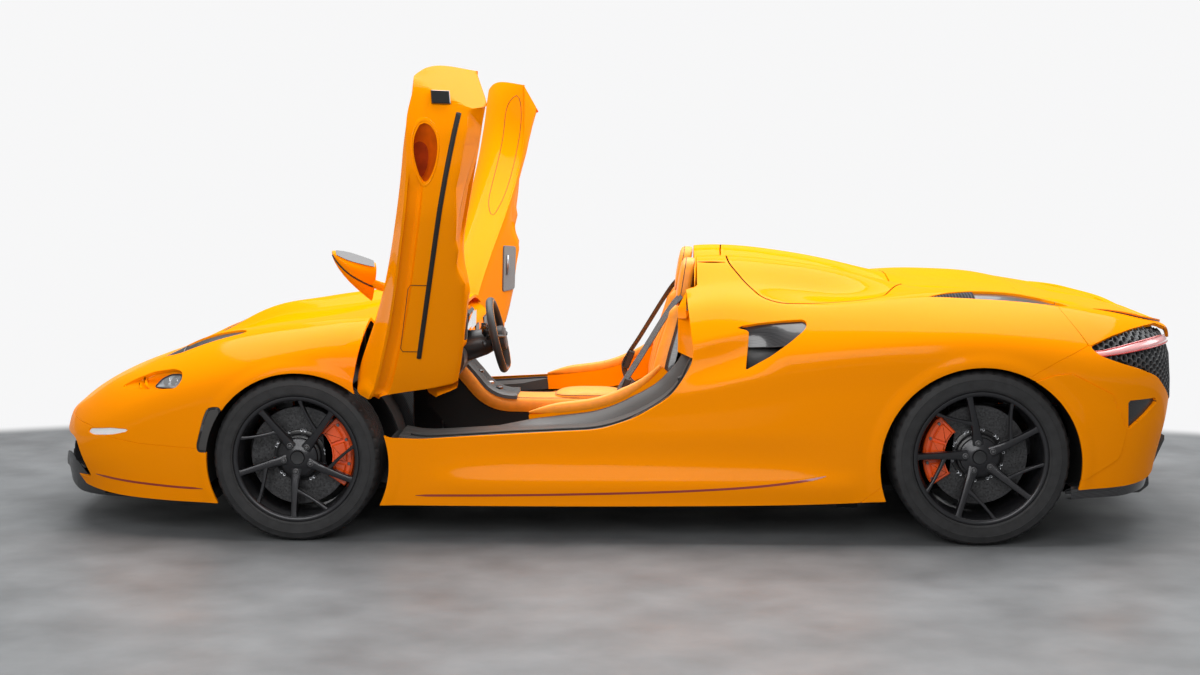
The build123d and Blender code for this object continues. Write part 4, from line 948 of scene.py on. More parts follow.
# ---------------------------------------------------------------------------------------------
# Wheels, tyres, brakes: built for the right side and mirrored to the left
# ---------------------------------------------------------------------------------------------
WHEELS = [
    # name, centre x, tyre radius, tyre width, tyre face y, rim radius, spoke angles, caliper angle
    ("front", -1.2105, 0.328, 0.245, 0.950, 0.2413, (122.7, 48.9, -24.7, -97.0, -168.6), 6.0),
    ("rear", 1.4595, 0.346, 0.305, 0.955, 0.2540, (98.0, 24.6, -42.3, -113.3, 175.8), 174.0),
]
FRONT_RIM = 0.2413
TREAD_STEPS = 240
DISC_RADIUS = 0.195
DISC_SET_BACK = 0.067
CALIPER_SPREAD = 40.0


def blade(line, halves, tops, depths, ridge=0.35):
    """A tapering bar along a line of (x, z) points; its crowned face is towards +Y."""
    shape = [(-1.0, 1.0), (-1.04, 0.45), (-0.98, 0.16), (-0.80, 0.05), (-ridge, 0.0), (ridge, 0.0),
             (0.80, 0.05), (0.98, 0.16), (1.04, 0.45), (1.0, 1.0)]
    points = []
    for p, side, half, top, depth in zip(line, path_normals(line), halves, tops, depths):
        for u, v in shape:
            x, z = p + side * half * u
            points.append((x, top - depth * v, z))
    return np.array(points), grid_faces(len(line), len(shape), close_cols=True)


def polar(r, degrees):
    a = np.radians(degrees)
    return np.stack([r * np.cos(a), r * np.sin(a)], -1)


def arc_band(r0, r1, a0, a1, count=24):
    a = np.linspace(a0, a1, count)
    return np.vstack([polar(r1, a), polar(r0, a[::-1])])


def behind(face, profile):
    """A profile of (radius, depth) set behind a face's y."""
    return [(r, face - depth) for r, depth in profile]


def make_rim(face, back, rim_r, angles):
    lip, wall = rim_r + 0.0065, rim_r - 0.0125
    inner = [(wall - 0.006, 0.12), (wall - 0.004, 0.02), (lip - 0.002, 0.012), (lip, 0.016), (rim_r, 0.022)]
    outer = [(rim_r, 0.026), (lip - 0.001, 0.017), (lip + 0.0004, 0.012), (lip - 0.0012, 0.0085),
             (lip - 0.006, 0.0078), (wall + 0.005, 0.0105), (wall + 0.0005, 0.0165), (wall - 0.0005, 0.030),
             (wall - 0.003, 0.045), (wall - 0.009, 0.075), (wall - 0.012, 0.11)]
    profile = [(r, back + depth) for r, depth in inner] + behind(face, outer) + [(wall - 0.006, back + 0.12)]
    rim = Mesh().add(*lathe(profile, sides=144))
    scale = rim_r / FRONT_RIM
    for angle in angles:
        r = np.array([0.044, 0.060, 0.085, 0.115, 0.150, 0.185, 0.215]) * scale
        r = np.append(r, [wall - 0.004, wall + 0.004])
        turn = np.array([-1.5, -0.5, 0.6, 1.4, 2.2, 2.8, 3.2, 3.4, 3.5])
        half = np.array([0.0235, 0.0205, 0.0175, 0.0155, 0.0138, 0.0125, 0.0122, 0.0128, 0.0160])
        top = face - np.array([0.046, 0.043, 0.037, 0.031, 0.025, 0.0195, 0.0155, 0.0135, 0.0125])
        depth = np.array([0.030, 0.030, 0.032, 0.033, 0.033, 0.033, 0.032, 0.030, 0.028])
        rim.add(*blade(polar(r, angle + turn), half, top, depth))
        start, end = polar(0.128 * scale, angle + 3.0), polar(wall + 0.003, angle + 37.0)
        t = np.linspace(0, 1, 9)
        bow = polar(1.0, angle + 110.0) * 0.006
        line = start + (end - start) * t[:, None] + bow * (4 * t * (1 - t))[:, None]
        half = np.interp(t, [0, 0.2, 0.8, 1], [0.010, 0.0068, 0.0055, 0.0085])
        top = face - np.interp(t, [0, 1], [0.031, 0.0130])
        rim.add(*blade(line, half, top, np.full(9, 0.024), 0.2))
    hub = [(0.0275, 0.052), (0.0275, 0.0425), (0.029, 0.041), (0.034, 0.041), (0.044, 0.047), (0.066, 0.052),
           (0.074, 0.056), (0.077, 0.072), (0.040, 0.074)]
    return rim.add(*lathe(behind(face, hub), sides=60))


def make_cap(face):
    profile = [(0.0268, 0.052), (0.0268, 0.0405), (0.0255, 0.0385), (0.014, 0.0378), (0.0002, 0.0376)]
    return Mesh().add(*lathe(behind(face, profile), sides=40))


def make_bolts(face, angles):
    bolts = Mesh()
    ring = [(0.0125, 0.052), (0.0125, 0.0425), (0.0112, 0.0405), (0.0088, 0.0400), (0.0080, 0.0445),
            (0.0065, 0.045)]
    head = [(0.0066, 0.047), (0.0066, 0.0385), (0.0058, 0.0372), (0.0002, 0.0370)]
    for angle in angles:
        x, z = polar(0.0555, angle - 0.5)
        bolts.add(*lathe(behind(face, ring), (x, 0, z), 20))
        bolts.add(*lathe(behind(face, head), (x, 0, z), 6))
    return bolts


def make_tyre(face, back, tyre_r, rim_r):
    """A tyre with four tread grooves and notched shoulders."""
    lip = rim_r + 0.0065
    mid = rim_r + 0.5 * (tyre_r - rim_r)
    wall = [(lip - 0.0015, 0.0165), (lip + 0.0012, 0.0115), (lip + 0.004, 0.0065), (lip + 0.0085, 0.0045),
            (lip + 0.0095, 0.0025), (lip + 0.0125, 0.0020), (lip + 0.0135, 0.0030), (mid, 0.0008),
            (mid + 0.006, 0.0006), (mid + 0.0068, 0.0), (mid + 0.0085, 0.0), (mid + 0.0092, 0.0012),
            (tyre_r - 0.018, 0.0048), (tyre_r - 0.0172, 0.0042), (tyre_r - 0.0155, 0.0046),
            (tyre_r - 0.0105, 0.0085), (tyre_r - 0.0048, 0.0165), (tyre_r - 0.0015, 0.0290),
            (tyre_r - 0.0006, 0.0400)]
    profile = behind(face, wall)
    for k in range(1, 5):
        y = face - 0.040 - k * (face - back - 0.080) / 5.0
        profile += [(tyre_r, y + 0.0052), (tyre_r - 0.0065, y + 0.0042), (tyre_r - 0.0065, y - 0.0042),
                    (tyre_r, y - 0.0052)]
    profile += [(r, back + depth) for r, depth in wall[::-1]] + [(lip - 0.0015, face - 0.0165)]
    points, faces = lathe(profile, sides=TREAD_STEPS)
    rings = points.reshape(len(profile), TREAD_STEPS, 3)
    notch = np.arange(TREAD_STEPS) % 5 == 0
    shrink = 1 - 0.0045 / tyre_r
    for ring, (r, y) in zip(rings, profile):
        if r > tyre_r - 0.011 and 0.008 < min(face - y, y - back) < 0.032:
            ring[notch] *= np.array([shrink, 1, shrink])
    return Mesh().add(rings, faces)


def make_rotor(seat):
    edge, groove = DISC_RADIUS, DISC_RADIUS - 0.003
    profile = [(0.102, 0.0735), (edge - 0.001, 0.0735), (edge, 0.072), (edge, 0.060), (groove, 0.058),
               (groove, 0.052), (edge, 0.050), (edge, 0.0395), (edge - 0.001, 0.038), (0.104, 0.038),
               (0.102, 0.040), (0.102, 0.0735)]
    return Mesh().add(*lathe(behind(seat, profile), sides=120))


def make_holes(seat):
    """Small dark discs on the rotor's face, in eighteen curved rows: painted shade standing in for the
    drilled holes.
    """
    holes = Mesh()
    rim = polar(0.0026, np.arange(8) * 45.0)
    for arm in range(18):
        for k, r in enumerate((0.112, 0.126, 0.140, 0.154, 0.168, 0.182)):
            x, z = polar(r, arm * 20.0 + (k * 9.0 if k % 2 else k * 9.0 + 6.0))
            holes.add(np.stack([x + rim[:, 0], np.full(8, seat - 0.0377), z + rim[:, 1]], 1),
                      [tuple(reversed(range(8)))])
    return holes


def make_bell(seat):
    profile = [(0.030, 0.001), (0.074, 0.002), (0.084, 0.008), (0.088, 0.030), (0.097, 0.036), (0.101, 0.037),
               (0.101, 0.062)]
    return Mesh().add(*lathe(behind(seat, profile), sides=80))


def make_bobbins(seat):
    bobbins = Mesh()
    profile = [(0.0040, 0.038), (0.0040, 0.034), (0.0058, 0.0335), (0.0064, 0.0345), (0.0064, 0.038)]
    for k in range(10):
        for step in (-4.2, 4.2):
            x, z = polar(0.1015, k * 36.0 + 10.0 + step)
            bobbins.add(*lathe(behind(seat, profile), (x, 0, z), 14))
        bar = arc_band(0.0985, 0.1045, k * 36.0 + 6.5, k * 36.0 + 13.5, 6)
        bobbins.add(*slab(bar[::-1], seat - 0.038, seat - 0.0345, 0.0006))
    return bobbins


def make_clamp(seat, middle):
    """The caliper's two cheeks, its bridge, three lobes and a beam."""
    clamp = Mesh()
    bands = [
        # radii, angles either side, corner radius, depths, bevel
        (0.128, 0.2145, -CALIPER_SPREAD, CALIPER_SPREAD, 0.012, 0.034, 0.016, 0.004),
        (0.128, 0.2145, -CALIPER_SPREAD, CALIPER_SPREAD, 0.012, 0.098, 0.079, 0.004),
        (0.1995, 0.2158, 4 - CALIPER_SPREAD, CALIPER_SPREAD - 4, 0.006, 0.096, 0.018, 0.003),
        (0.137, 0.190, -36.0, -15.5, 0.010, 0.020, 0.0075, 0.004),
        (0.137, 0.190, -12.5, 12.5, 0.010, 0.020, 0.0075, 0.004),
        (0.137, 0.190, 15.5, 36.0, 0.010, 0.020, 0.0075, 0.004),
        (0.192, 0.208, -34, 34, 0.005, 0.018, 0.0105, 0.0025),
    ]
    for r0, r1, low, high, corner, deep, shallow, bevel in bands:
        count = 12 if r0 == 0.137 else 24
        outline = rounded(arc_band(r0, r1, middle + low, middle + high, count), corner, 3)
        clamp.add(*slab(outline, seat - deep, seat - shallow, bevel))
    return clamp


def make_studs(seat, middle):
    studs = Mesh()
    profile = [(0.0062, 0.0105), (0.0062, 0.005), (0.0052, 0.004), (0.0002, 0.004)]
    for turn in (-33.0, -14.0, 14.0, 33.0):
        x, z = polar(0.200, middle + turn)
        studs.add(*lathe(behind(seat, profile), (x, 0, z), 12))
    return studs


def make_pads(seat, middle):
    return Mesh().add(*slab(arc_band(0.122, 0.150, middle - 31, middle + 31), seat - 0.0375, seat - 0.034,
                            0.0008))


def place(mesh, centre, sign):
    points, faces = mesh.merged()
    points = points + np.array(centre)
    return (points * MIRROR, flipped(faces)) if sign < 0 else (points, faces)


for axle, wheel_x, tyre_r, tyre_w, face, rim_r, angles, caliper_mid in WHEELS:
    back, seat = face - tyre_w, face - DISC_SET_BACK
    parts = [
        # name, mesh, material, turns with the wheel, slot, node it replaces, sharp angle
        ("wheel_rim", make_rim(face, back, rim_r, angles), RIM, True, "rim", "rim", 38),
        ("wheel_cap", make_cap(face), GLOSS, True, "rim", None, 40),
        ("wheel_bolts", make_bolts(face, angles), DARK_ALLOY, True, "rim", None, 35),
        ("wheel_tyre", make_tyre(face, back, tyre_r, rim_r), TYRE, True, "tyre", "tyre", 30),
        ("brake_rotor", make_rotor(seat), DISC, True, "brake_disc", "disc", 35),
        ("brake_holes", make_holes(seat), SEAL_RUBBER_AND_PAINTED_SHADE, True, "brake_disc", None, None),
        ("brake_bell", make_bell(seat), BLACK, True, "brake_disc", None, 35),
        ("brake_bobbins", make_bobbins(seat), ALLOY, True, "alloy", None, 35),
        ("brake_caliper", make_clamp(seat, caliper_mid), CALIPER, False, "caliper", "caliper", 40),
        ("caliper_studs", make_studs(seat, caliper_mid), DARK_ALLOY, False, "alloy", None, 35),
        ("brake_pads", make_pads(seat, caliper_mid), DARK_ALLOY, False, "alloy", None, 35),
    ]
    for side, sign in (("left", -1), ("right", 1)):
        tag = "_%s_%s" % (axle, side)
        holder = "knuckle_" + side if axle == "front" else "root"
        for name, mesh, mat, turns, slot, node_name, sharp in parts:
            body = "wheel" + tag if turns else holder
            nodes = (node_name + tag,) if node_name else ()
            piece(name + tag, *place(mesh, (wheel_x, 0.0, tyre_r), sign), mat, body, slot, nodes, sharp=sharp)


# ---------------------------------------------------------------------------------------------
# Doors: shaped shut on the right side, then turned open about the hinge and mirrored
# ---------------------------------------------------------------------------------------------
HINGE_AXIS = np.array([0.4241, 0.5496, 0.7198])
HINGE_AXIS /= np.linalg.norm(HINGE_AXIS)
HINGE_POINT = np.array([-0.898, -0.881, 0.732])
OPEN_TURN = math.radians(-88.7)
INNER_Y = 0.606
FACE_SINK = 0.066
DUCT_X, DUCT_Y, DUCT_LENGTH, DUCT_HALF, DUCT_TAPER, DUCT_TILT = 0.168, 0.856, 0.098, 0.046, 0.016, 0.004


def turned(vectors):
    """Turns left-hand vectors from shut to open."""
    c, s = math.cos(OPEN_TURN), math.sin(OPEN_TURN)
    along = np.outer(vectors @ HINGE_AXIS, HINGE_AXIS)
    return vectors * c + np.cross(HINGE_AXIS, vectors) * s + along * (1 - c)


def door_piece(name, points, faces, mat=PAINT, slot="paint", nodes=(), normals=None, sharp=None):
    """Makes a door piece on both sides from a shut shape with y positive."""
    faces = [tuple(f) for f in faces]
    points = turned(np.asarray(points, float) * MIRROR - HINGE_POINT) + HINGE_POINT
    if normals is not None:
        normals = turned(np.asarray(normals) * MIRROR)
    for side, side_faces, sign in (("left", flipped(faces), 1.0), ("right", faces, MIRROR)):
        piece("%s_%s" % (name, side), points * sign, side_faces, mat, "door_" + side, slot,
              ["%s_%s" % (n, side) for n in nodes], None if normals is None else normals * sign, sharp)


def draft(p):
    """How far a point lies behind the slanted rear edge of the door."""
    return p[:, 0] - (0.349 - 0.2645 * (0.90 - p[:, 1]))


def inner_y(x, z):
    """How far in the door's inner face lies: it leans outwards towards the sill."""
    waist = 0.082 * (1 - rise(z, 0.52, 0.76)) * rise(x, -0.42, -0.24)
    return 0.614 + waist + 0.075 * (1 - rise(x, -0.86, -0.82)) * (1 - rise(z, 0.62, 0.70))


skin_points, skin_normals, skin_faces = trimmed(BODY, [within(DOOR, 0.002), lambda p: INNER_Y - p[:, 1],
                                                       draft])
edge = skin_points[loop_of(skin_faces)]
flat = edge[:, SIDE]
ahead = np.roll(flat, -1, 0) - np.roll(flat, 1, 0)
inward = unit(np.stack([-ahead[:, 1], ahead[:, 0]], 1))
inward *= np.where(np.median(outline_distance(flat + inward * 0.004, flat)) < 0, 1.0, -1.0)
for _ in range(6):
    inward = (np.roll(inward, 1, 0) + 2 * inward + np.roll(inward, -1, 0)) / 4
inward = unit(inward)

# The shut face: rows run inwards from the skin's edge to the inner face
low_edge = 1 - rise(edge[:, 2], 0.62, 0.70)
nose = 1 - rise(edge[:, 0], -0.86, -0.78)
lean = np.interp(edge[:, 0], [-0.72, -0.60, -0.28, -0.15, 0.06, 0.20, 0.30],
                 [0.622, 0.624, 0.660, 0.712, 0.735, 0.712, 0.690])
last_y = 0.615 + (np.maximum(lean, inner_y(edge[:, 0], edge[:, 2])) - 0.615) * low_edge
last_y = last_y + (np.maximum(edge[:, 1] - 0.045, 0.608) - last_y) * nose
reach = np.maximum(edge[:, 1] - last_y, 0.0)
full = np.clip(reach / 0.10, 0, 1)
FACE_ROWS = [
    # share of the way in past the step, depth of the step, inset from the edge
    (0.0, 0.0, 0.0), (0.0, 0.0014, 0.0004), (0.0, 0.010, 0.0012), (0.0, 0.016, 0.020), (0.0, 0.050, 0.024),
    (0.0, 0.062, 0.016), (0.0, FACE_SINK, 0.0035),
    *((share, FACE_SINK, 0.0025) for share in (0.05, 0.10, 0.15, 0.20, 0.30, 0.45, 0.62, 0.76)),
    (0.90, FACE_SINK, 0.004), (0.97, FACE_SINK, 0.009), (1.0, 0.0, 0.016),
]
rows = []
for share, sink, inset in FACE_ROWS:
    step_fade = 0.86 * rise(edge[:, 0], 0.03, 0.13) if 0.01 < inset < 0.03 and share < 1 else 0.0
    y = edge[:, 1] - np.minimum(sink, 0.9 * reach) - share * np.maximum(reach - FACE_SINK, 0)
    y = last_y if share == 1.0 else np.maximum(y, last_y)
    xz = flat + inward * (inset * (1 - step_fade) * full)[:, None]
    rows.append(np.stack([xz[:, 0], y, xz[:, 1]], 1))
chamfer = np.interp(edge[:, 0], [-0.70, -0.30, 0.0, 0.10, 0.20, 0.30],
                    [0.03, 0.080, 0.110, 0.132, 0.150, 0.120])
xz = flat + inward * (0.016 * full + chamfer * low_edge * (1 - nose))[:, None]
flush = inner_y(xz[:, 0], xz[:, 1])
rows.append(np.stack([xz[:, 0], np.maximum(flush, last_y * nose + flush * (1 - nose)), xz[:, 1]], 1))
for row in rows:
    row[:, 0] -= np.where(row[:, 2] > 0.55, np.maximum(draft(row), 0.0), 0.0)


def duct_field(p):
    """Positive inside the air duct's mouth on the shut face."""
    across = (p[:, 0] - DUCT_X) / DUCT_LENGTH
    span = DUCT_HALF + DUCT_TAPER * np.clip(across, -1, 1)
    inside = 0.90 - np.hypot(across, (p[:, 1] - DUCT_Y - DUCT_TILT * across) / span)
    on_face = (outline_distance(p[:, SIDE], DOOR) > -0.02) & (p[:, 2] < 0.72)
    return np.where(on_face, inside * 0.05, -0.05)


door_piece("door_skin", skin_points, skin_faces, nodes=("door_shell",), normals=skin_normals)
frame_points, frame_quads = skinned(rows, closed=True)
frame_faces = triangles(np.array(frame_quads)[:, ::-1])
frame_normals = vertex_normals(frame_points, frame_faces)
frame_points, _, frame_faces = clip(frame_points, frame_normals, frame_faces, duct_field(frame_points))
door_piece("door_frame", frame_points, frame_faces, sharp=38)

# Inner face with a pull recess
inner_outline = rows[-1][:, SIDE]
low, high = inner_outline.min(0), inner_outline.max(0)
nx, nz = (int(v) + 2 for v in (high - low) / STEP)
gx, gz = np.meshgrid(np.linspace(low[0], high[0], nx), np.linspace(low[1], high[1], nz), indexing="ij")
grid = np.stack([gx.ravel(), inner_y(gx.ravel(), gz.ravel()) - 0.0005, gz.ravel()], 1)
flat_normals = np.tile([0.0, -1.0, 0.0], (len(grid), 1))
grid, _, inner_faces = trimmed((grid, flat_normals, triangles(grid_faces(nx, nz))),
                               [within(inner_outline, 0.0)])
PULL = rounded([(-0.30, 0.640), (-0.02, 0.640), (0.05, 0.700), (-0.26, 0.700)], 0.03)
grid[:, 1] += 0.030 * rise(-outline_distance(grid[:, SIDE], PULL), -0.004, 0.012)
grid[:, 1] -= 0.004 * rise(-outline_distance(grid[:, SIDE], inner_outline), 0.0, 0.05)
door_piece("door_inner", grid, flipped(inner_faces), PAINT_IN, nodes=("door_trim",), sharp=35)

# The door's lower edge, in order from front to rear
lower = np.nonzero(low_edge > 0.5)[0]
lower = lower[np.argsort(edge[lower, 0])]


def at_edge(at, values):
    return np.interp(at, edge[lower, 0], values[lower])


def duct_point(at, y, lift):
    """A point on the shut face along the door's lower edge, lifted off it."""
    out = np.array([at_edge(at, inward[:, 0]), 0.0, at_edge(at, inward[:, 1])])
    return np.array([at, y, at_edge(at, edge[:, 2])]) + out * (0.004 - lift)


# A seal that runs straight up the shut face when the door stands open
TURN_X, TURN_Z = turned(np.eye(3))[:, 0], turned(np.eye(3))[:, 2]
SEAL_ENDS = ((-0.66, 0.790), (0.285, 0.735))
ends = [np.array([at, -y, at_edge(at, edge[:, 2])]) for at, y in SEAL_ENDS]
seal = []
for at in np.linspace(SEAL_ENDS[0][0], SEAL_ENDS[1][0], 40):
    z = at_edge(at, edge[:, 2])
    level = at * TURN_Z[0] - 0.76 * TURN_Z[1] + z * TURN_Z[2]
    straight = np.interp(level, [end @ TURN_Z for end in ends], [end @ TURN_X for end in ends])
    seal.append(duct_point(at, -(straight - at * TURN_X[0] - z * TURN_X[2]) / TURN_X[1], 0.0010))
door_piece("door_seal", *tube(smooth_line(seal, 0.012), 0.0095, squash=0.8), SEAL_RUBBER_AND_PAINTED_SHADE, "black_trim")


DUCT_SIDES = 44


def duct_ring(scale, lift):
    """A ring round the air duct on the rear lower corner of the shut face."""
    out = []
    for k in range(DUCT_SIDES):
        a = 2 * math.pi * k / DUCT_SIDES
        at = DUCT_X + DUCT_LENGTH * scale * math.cos(a)
        y = DUCT_Y + (DUCT_HALF + DUCT_TAPER * math.cos(a)) * scale * math.sin(a) + DUCT_TILT * math.cos(a)
        out.append(duct_point(at, y, lift))
    return np.array(out)


DUCT_LIP = ((1.10, -0.001), (1.06, 0.003), (1.01, 0.0045), (0.96, 0.003), (0.93, -0.006))
THROAT_SHIFT = np.array([-0.026, 0.004, 0.0])
lip = [duct_ring(scale, lift) for scale, lift in DUCT_LIP]
door_piece("duct_lip", *skinned(lip, flip=True, closed=True), sharp=60)
# The duct's walls and mouth take the darker copies of the orange: painted shade inside the duct
throat = duct_ring(0.62, -0.052) + THROAT_SHIFT
walls = [duct_ring(0.97, 0.0032), duct_ring(0.90, -0.020), throat]
door_piece("duct_throat", *skinned(walls, flip=True, closed=True), DUCT_PAINTED_SHADE, sharp=60)
bottom = [((k + 1) % DUCT_SIDES, k, DUCT_SIDES) for k in range(DUCT_SIDES)]
door_piece("duct_mouth", np.vstack([throat, throat.mean(0)]), bottom, DUCT_PAINTED_DEEP_SHADE)
# The service cover's outline is a thin black tube: painted shade of its panel gap
COVER = ((-0.335, 0.860), (-0.335, 0.800), (-0.350, 0.790), (-0.620, 0.790), (-0.630, 0.800), (-0.630, 0.855),
         (-0.615, 0.865), (-0.350, 0.868))
cover_line = [duct_point(at, y, 0.0035) for at, y in COVER]
door_piece("service_cover_line", *tube(cover_line, 0.0012, 6, closed=True), SEAL_RUBBER_AND_PAINTED_SHADE, "black_trim")

# Latch plate near the top corner
LATCH_AT = np.array([0.318, 0.800, 0.668])
LATCH_OUT = np.array([0.866, 0.0, -0.5])
LATCH_HALF = np.array([[0.0, 0.034, 0.0], [0.026 * 0.5, 0.0, 0.026 * 0.866]])
plate = []
for lift, size in ((0.0, 1.0), (0.007, 1.0), (0.009, 0.9)):
    plate.append([LATCH_AT + LATCH_OUT * lift + np.array(signs) @ LATCH_HALF * size
                  for signs in ((-1, -1), (1, -1), (1, 1), (-1, 1))])
points, faces = skinned(plate, closed=True)
door_piece("door_latch", points, faces + [(8, 9, 10, 11)], GLOSS, "black_trim", sharp=30)

# Soft pad with a release lever on the inner face
pad_outline = rounded([(-0.690, 0.585), (-0.610, 0.462), (-0.430, 0.575), (-0.500, 0.712)], 0.02)
door_piece("door_pad", *slab(pad_outline, 0.6035, 0.6125, 0.003), SUEDE, "suede", sharp=40)
LEVER = [(-0.600, 0.600, 0.600), (-0.560, 0.598, 0.625), (-0.520, 0.600, 0.650)]
door_piece("door_lever", *tube(LEVER, [0.006, 0.008, 0.006]), ALLOY, "alloy")

# Mirror: a leaf-shaped pod, pointed outwards, with its glass on the rear edge
POD_SIDES = 36
pod, glass = [], []
for s in (0.0, 0.03, 0.08, 0.16, 0.28, 0.42, 0.58, 0.74, 0.88, 0.96, 1.0):
    y, middle = 1.074 - 0.172 * s, 0.884 - 0.014 * s
    rear, tip = -0.512 - 0.046 * s, -0.524 - 0.205 * s ** 0.72
    half = 0.050 * min(1.0, (0.05 + 2.6 * s) ** 0.5) * (1.0 - 0.35 * s ** 4)
    row = []
    for k in range(POD_SIDES):
        a = 2 * math.pi * k / POD_SIDES
        ca, sa = math.cos(a), math.sin(a)
        along = math.copysign(abs(ca) ** (0.45 if ca > 0 else 0.9), ca)
        row.append(((rear + tip) / 2 + (rear - tip) / 2 * along, y,
                    middle + half * math.copysign(abs(sa) ** 0.85, sa)))
    pod.append(row)
    if 0.03 < s < 0.97:
        glass.append([(rear + 0.0016, y, middle + half * f) for f in (-0.60, -0.3, 0.0, 0.3, 0.60)])
points, faces = skinned(pod, closed=True, ends=True)
door_piece("mirror_shell", points, faces, nodes=("door_mirror",), sharp=60)
door_piece("mirror_glass", *skinned(glass), MIRROR_GLASS, "lamp")
door_piece("mirror_edge", *tube([row[27] for row in pod], 0.0035, 8), BLACK, "black_trim")
ARM = smooth_line([(-0.620, 0.800, 0.795), (-0.626, 0.870, 0.815), (-0.632, 0.915, 0.850),
                   (-0.640, 0.935, 0.866)], 0.01)
door_piece("mirror_arm", *tube(ARM, 0.020, 14, squash=0.55))

# Lid line on the door's top skin: a thin black tube of painted shade for the lid's gap
TOP_COVER = [(0.235, 0.655), (0.205, 0.632), (-0.02, 0.640), (-0.30, 0.652), (-0.375, 0.672), (-0.300, 0.715),
             (0.05, 0.722), (0.200, 0.705)]
tops = trimmed(BODY, [within(DOOR, 0.002), lambda p: INNER_Y - p[:, 1], lambda p: p[:, 1] - 0.80])[0]


def on_top(x, y):
    """A point on the door's top skin at a place in plan."""
    away = np.hypot(tops[:, 0] - x, tops[:, 1] - y)
    near = np.argsort(away)[:6]
    weight = 1 / (away[near] + 1e-4)
    return (x, y, (tops[near, 2] * weight).sum() / weight.sum())


top_line = [on_top(x, y) for x, y in smooth_line(TOP_COVER, 0.02, closed=True)]
door_piece("top_cover_line", *tube(top_line, 0.0016, 6, closed=True), SEAL_RUBBER_AND_PAINTED_SHADE, "black_trim")


# ---------------------------------------------------------------------------------------------
# Sills and cabin
# ---------------------------------------------------------------------------------------------
SILL_KNOTS = [(-0.812, 0.415), (-0.729, 0.402), (-0.550, 0.409), (-0.38, 0.420), (-0.20, 0.429),
              (-0.02, 0.443), (0.12, 0.489), (0.245, 0.565), (0.300, 0.632), (0.338, 0.712)]
SILL_PATH = smooth_line(SILL_KNOTS, 0.02)


def swept(line, sections):
    """Sweeps a section of (y, lift) along a side path; sections may vary along it."""
    normals = path_normals(line)
    rows = []
    for k, (point, normal) in enumerate(zip(line, normals)):
        section = np.asarray(sections(k / (len(line) - 1)), float)
        xz = np.asarray(point) + normal * section[:, 1:2]
        rows.append(np.stack([xz[:, 0], section[:, 0], xz[:, 1]], 1))
    return np.array(rows)


def between(line, low, high):
    """The points of a side path between two stations."""
    return np.array([q for q in line if low < q[0] < high])


def sill_section(s):
    up = np.interp(s, [0.0, 0.30, 0.42, 0.55, 0.75, 0.90, 1.0],
                   [0.003, 0.004, 0.026, 0.038, 0.055, 0.052, 0.030])
    return [(0.889, -0.030), (0.889, -0.004), (0.886, -0.001), (0.872, 0.000), (0.869, -0.006),
            (0.862, -0.006), (0.859, 0.000), (0.790, 0.001), (0.786, -0.002), (0.781, -0.002), (0.777, 0.002),
            (0.730, 0.003), (0.692, 0.004), (0.680, 0.4 * up), (0.655, 0.92 * up), (0.648, up), (0.641, up),
            (0.640, -0.030)]


def slot_section(s):
    return [(0.856, 0.0035), (0.855 - 0.052 * math.sin(math.pi * min(max(s, 0.02), 0.98)), 0.0045)]


on_both_sides("sill_trim", *skinned(swept(SILL_PATH, sill_section), flip=True), TRIM, "black_trim",
              ("sill_trims",), 32)
seal_line = swept(SILL_PATH[2:], lambda s: [(0.824, 0.0035)]).reshape(-1, 3)
on_both_sides("sill_seal", *tube(seal_line, 0.0045, 8), SEAL_RUBBER_AND_PAINTED_SHADE, "black_trim")
slot_rows = swept(between(SILL_PATH, 0.085, 0.262), slot_section)
on_both_sides("sill_slot", *skinned(slot_rows, flip=True), BLACK, "black_trim")
STRIKER = ((-0.014, -0.018), (0.014, -0.006), (0.010, 0.016), (-0.018, 0.006))
STRIKER_AT = SILL_PATH[-5] - np.array([0.002, 0.006])
on_both_sides("door_striker", *slab([STRIKER_AT + corner for corner in STRIKER], 0.765, 0.800, 0.003), BLACK,
              "black_trim", sharp=30)

# Padded roll on the inner edge of each sill
ROLL_KNOTS = [(-0.318, 0.474), (-0.20, 0.486), (-0.044, 0.508), (0.04, 0.535), (0.104, 0.568), (0.165, 0.614),
              (0.215, 0.665)]
ROLL_PATH = smooth_line(ROLL_KNOTS, 0.014)
ROLL_SIDES = 20


def roll_section(s):
    size = math.sin(math.pi * min(max(0.03 + 1.9 * s, 0.03), 0.5)) * min(1.0, 0.25 + 2.4 * (1 - s))
    out = []
    for k in range(ROLL_SIDES):
        a = 2 * math.pi * k / ROLL_SIDES
        ca, sa = math.cos(a), math.sin(a)
        out.append((0.6215 + 0.0205 * size * math.copysign(abs(ca) ** 0.75, ca),
                    0.001 + 0.024 * size * math.copysign(abs(sa) ** 0.8, sa) - 0.004 * (1 - size)))
    return out


def skirt_section(s):
    return [(0.600, -0.012), (0.600, -0.075 - 0.05 * s), (0.638, -0.075 - 0.05 * s), (0.638, -0.012)]


roll = skinned(swept(ROLL_PATH, roll_section), closed=True, ends=True)
sill_roll = on_both_sides("sill_roll", *roll, LEATHER, "leather", ("sill_pads",), 50)
on_both_sides("sill_skirt", *skinned(swept(ROLL_PATH, skirt_section)), PAINT_IN, "paint", sharp=30)

# Centre console: a padded bridge that sweeps up into the dash
CONSOLE_KNOTS = [(-0.690, 0.640), (-0.640, 0.612), (-0.590, 0.560), (-0.530, 0.492), (-0.470, 0.462),
                 (-0.38, 0.456), (-0.10, 0.455), (0.08, 0.452), (0.17, 0.440), (0.215, 0.415)]
CONSOLE_TOP = smooth_line(CONSOLE_KNOTS, 0.016)
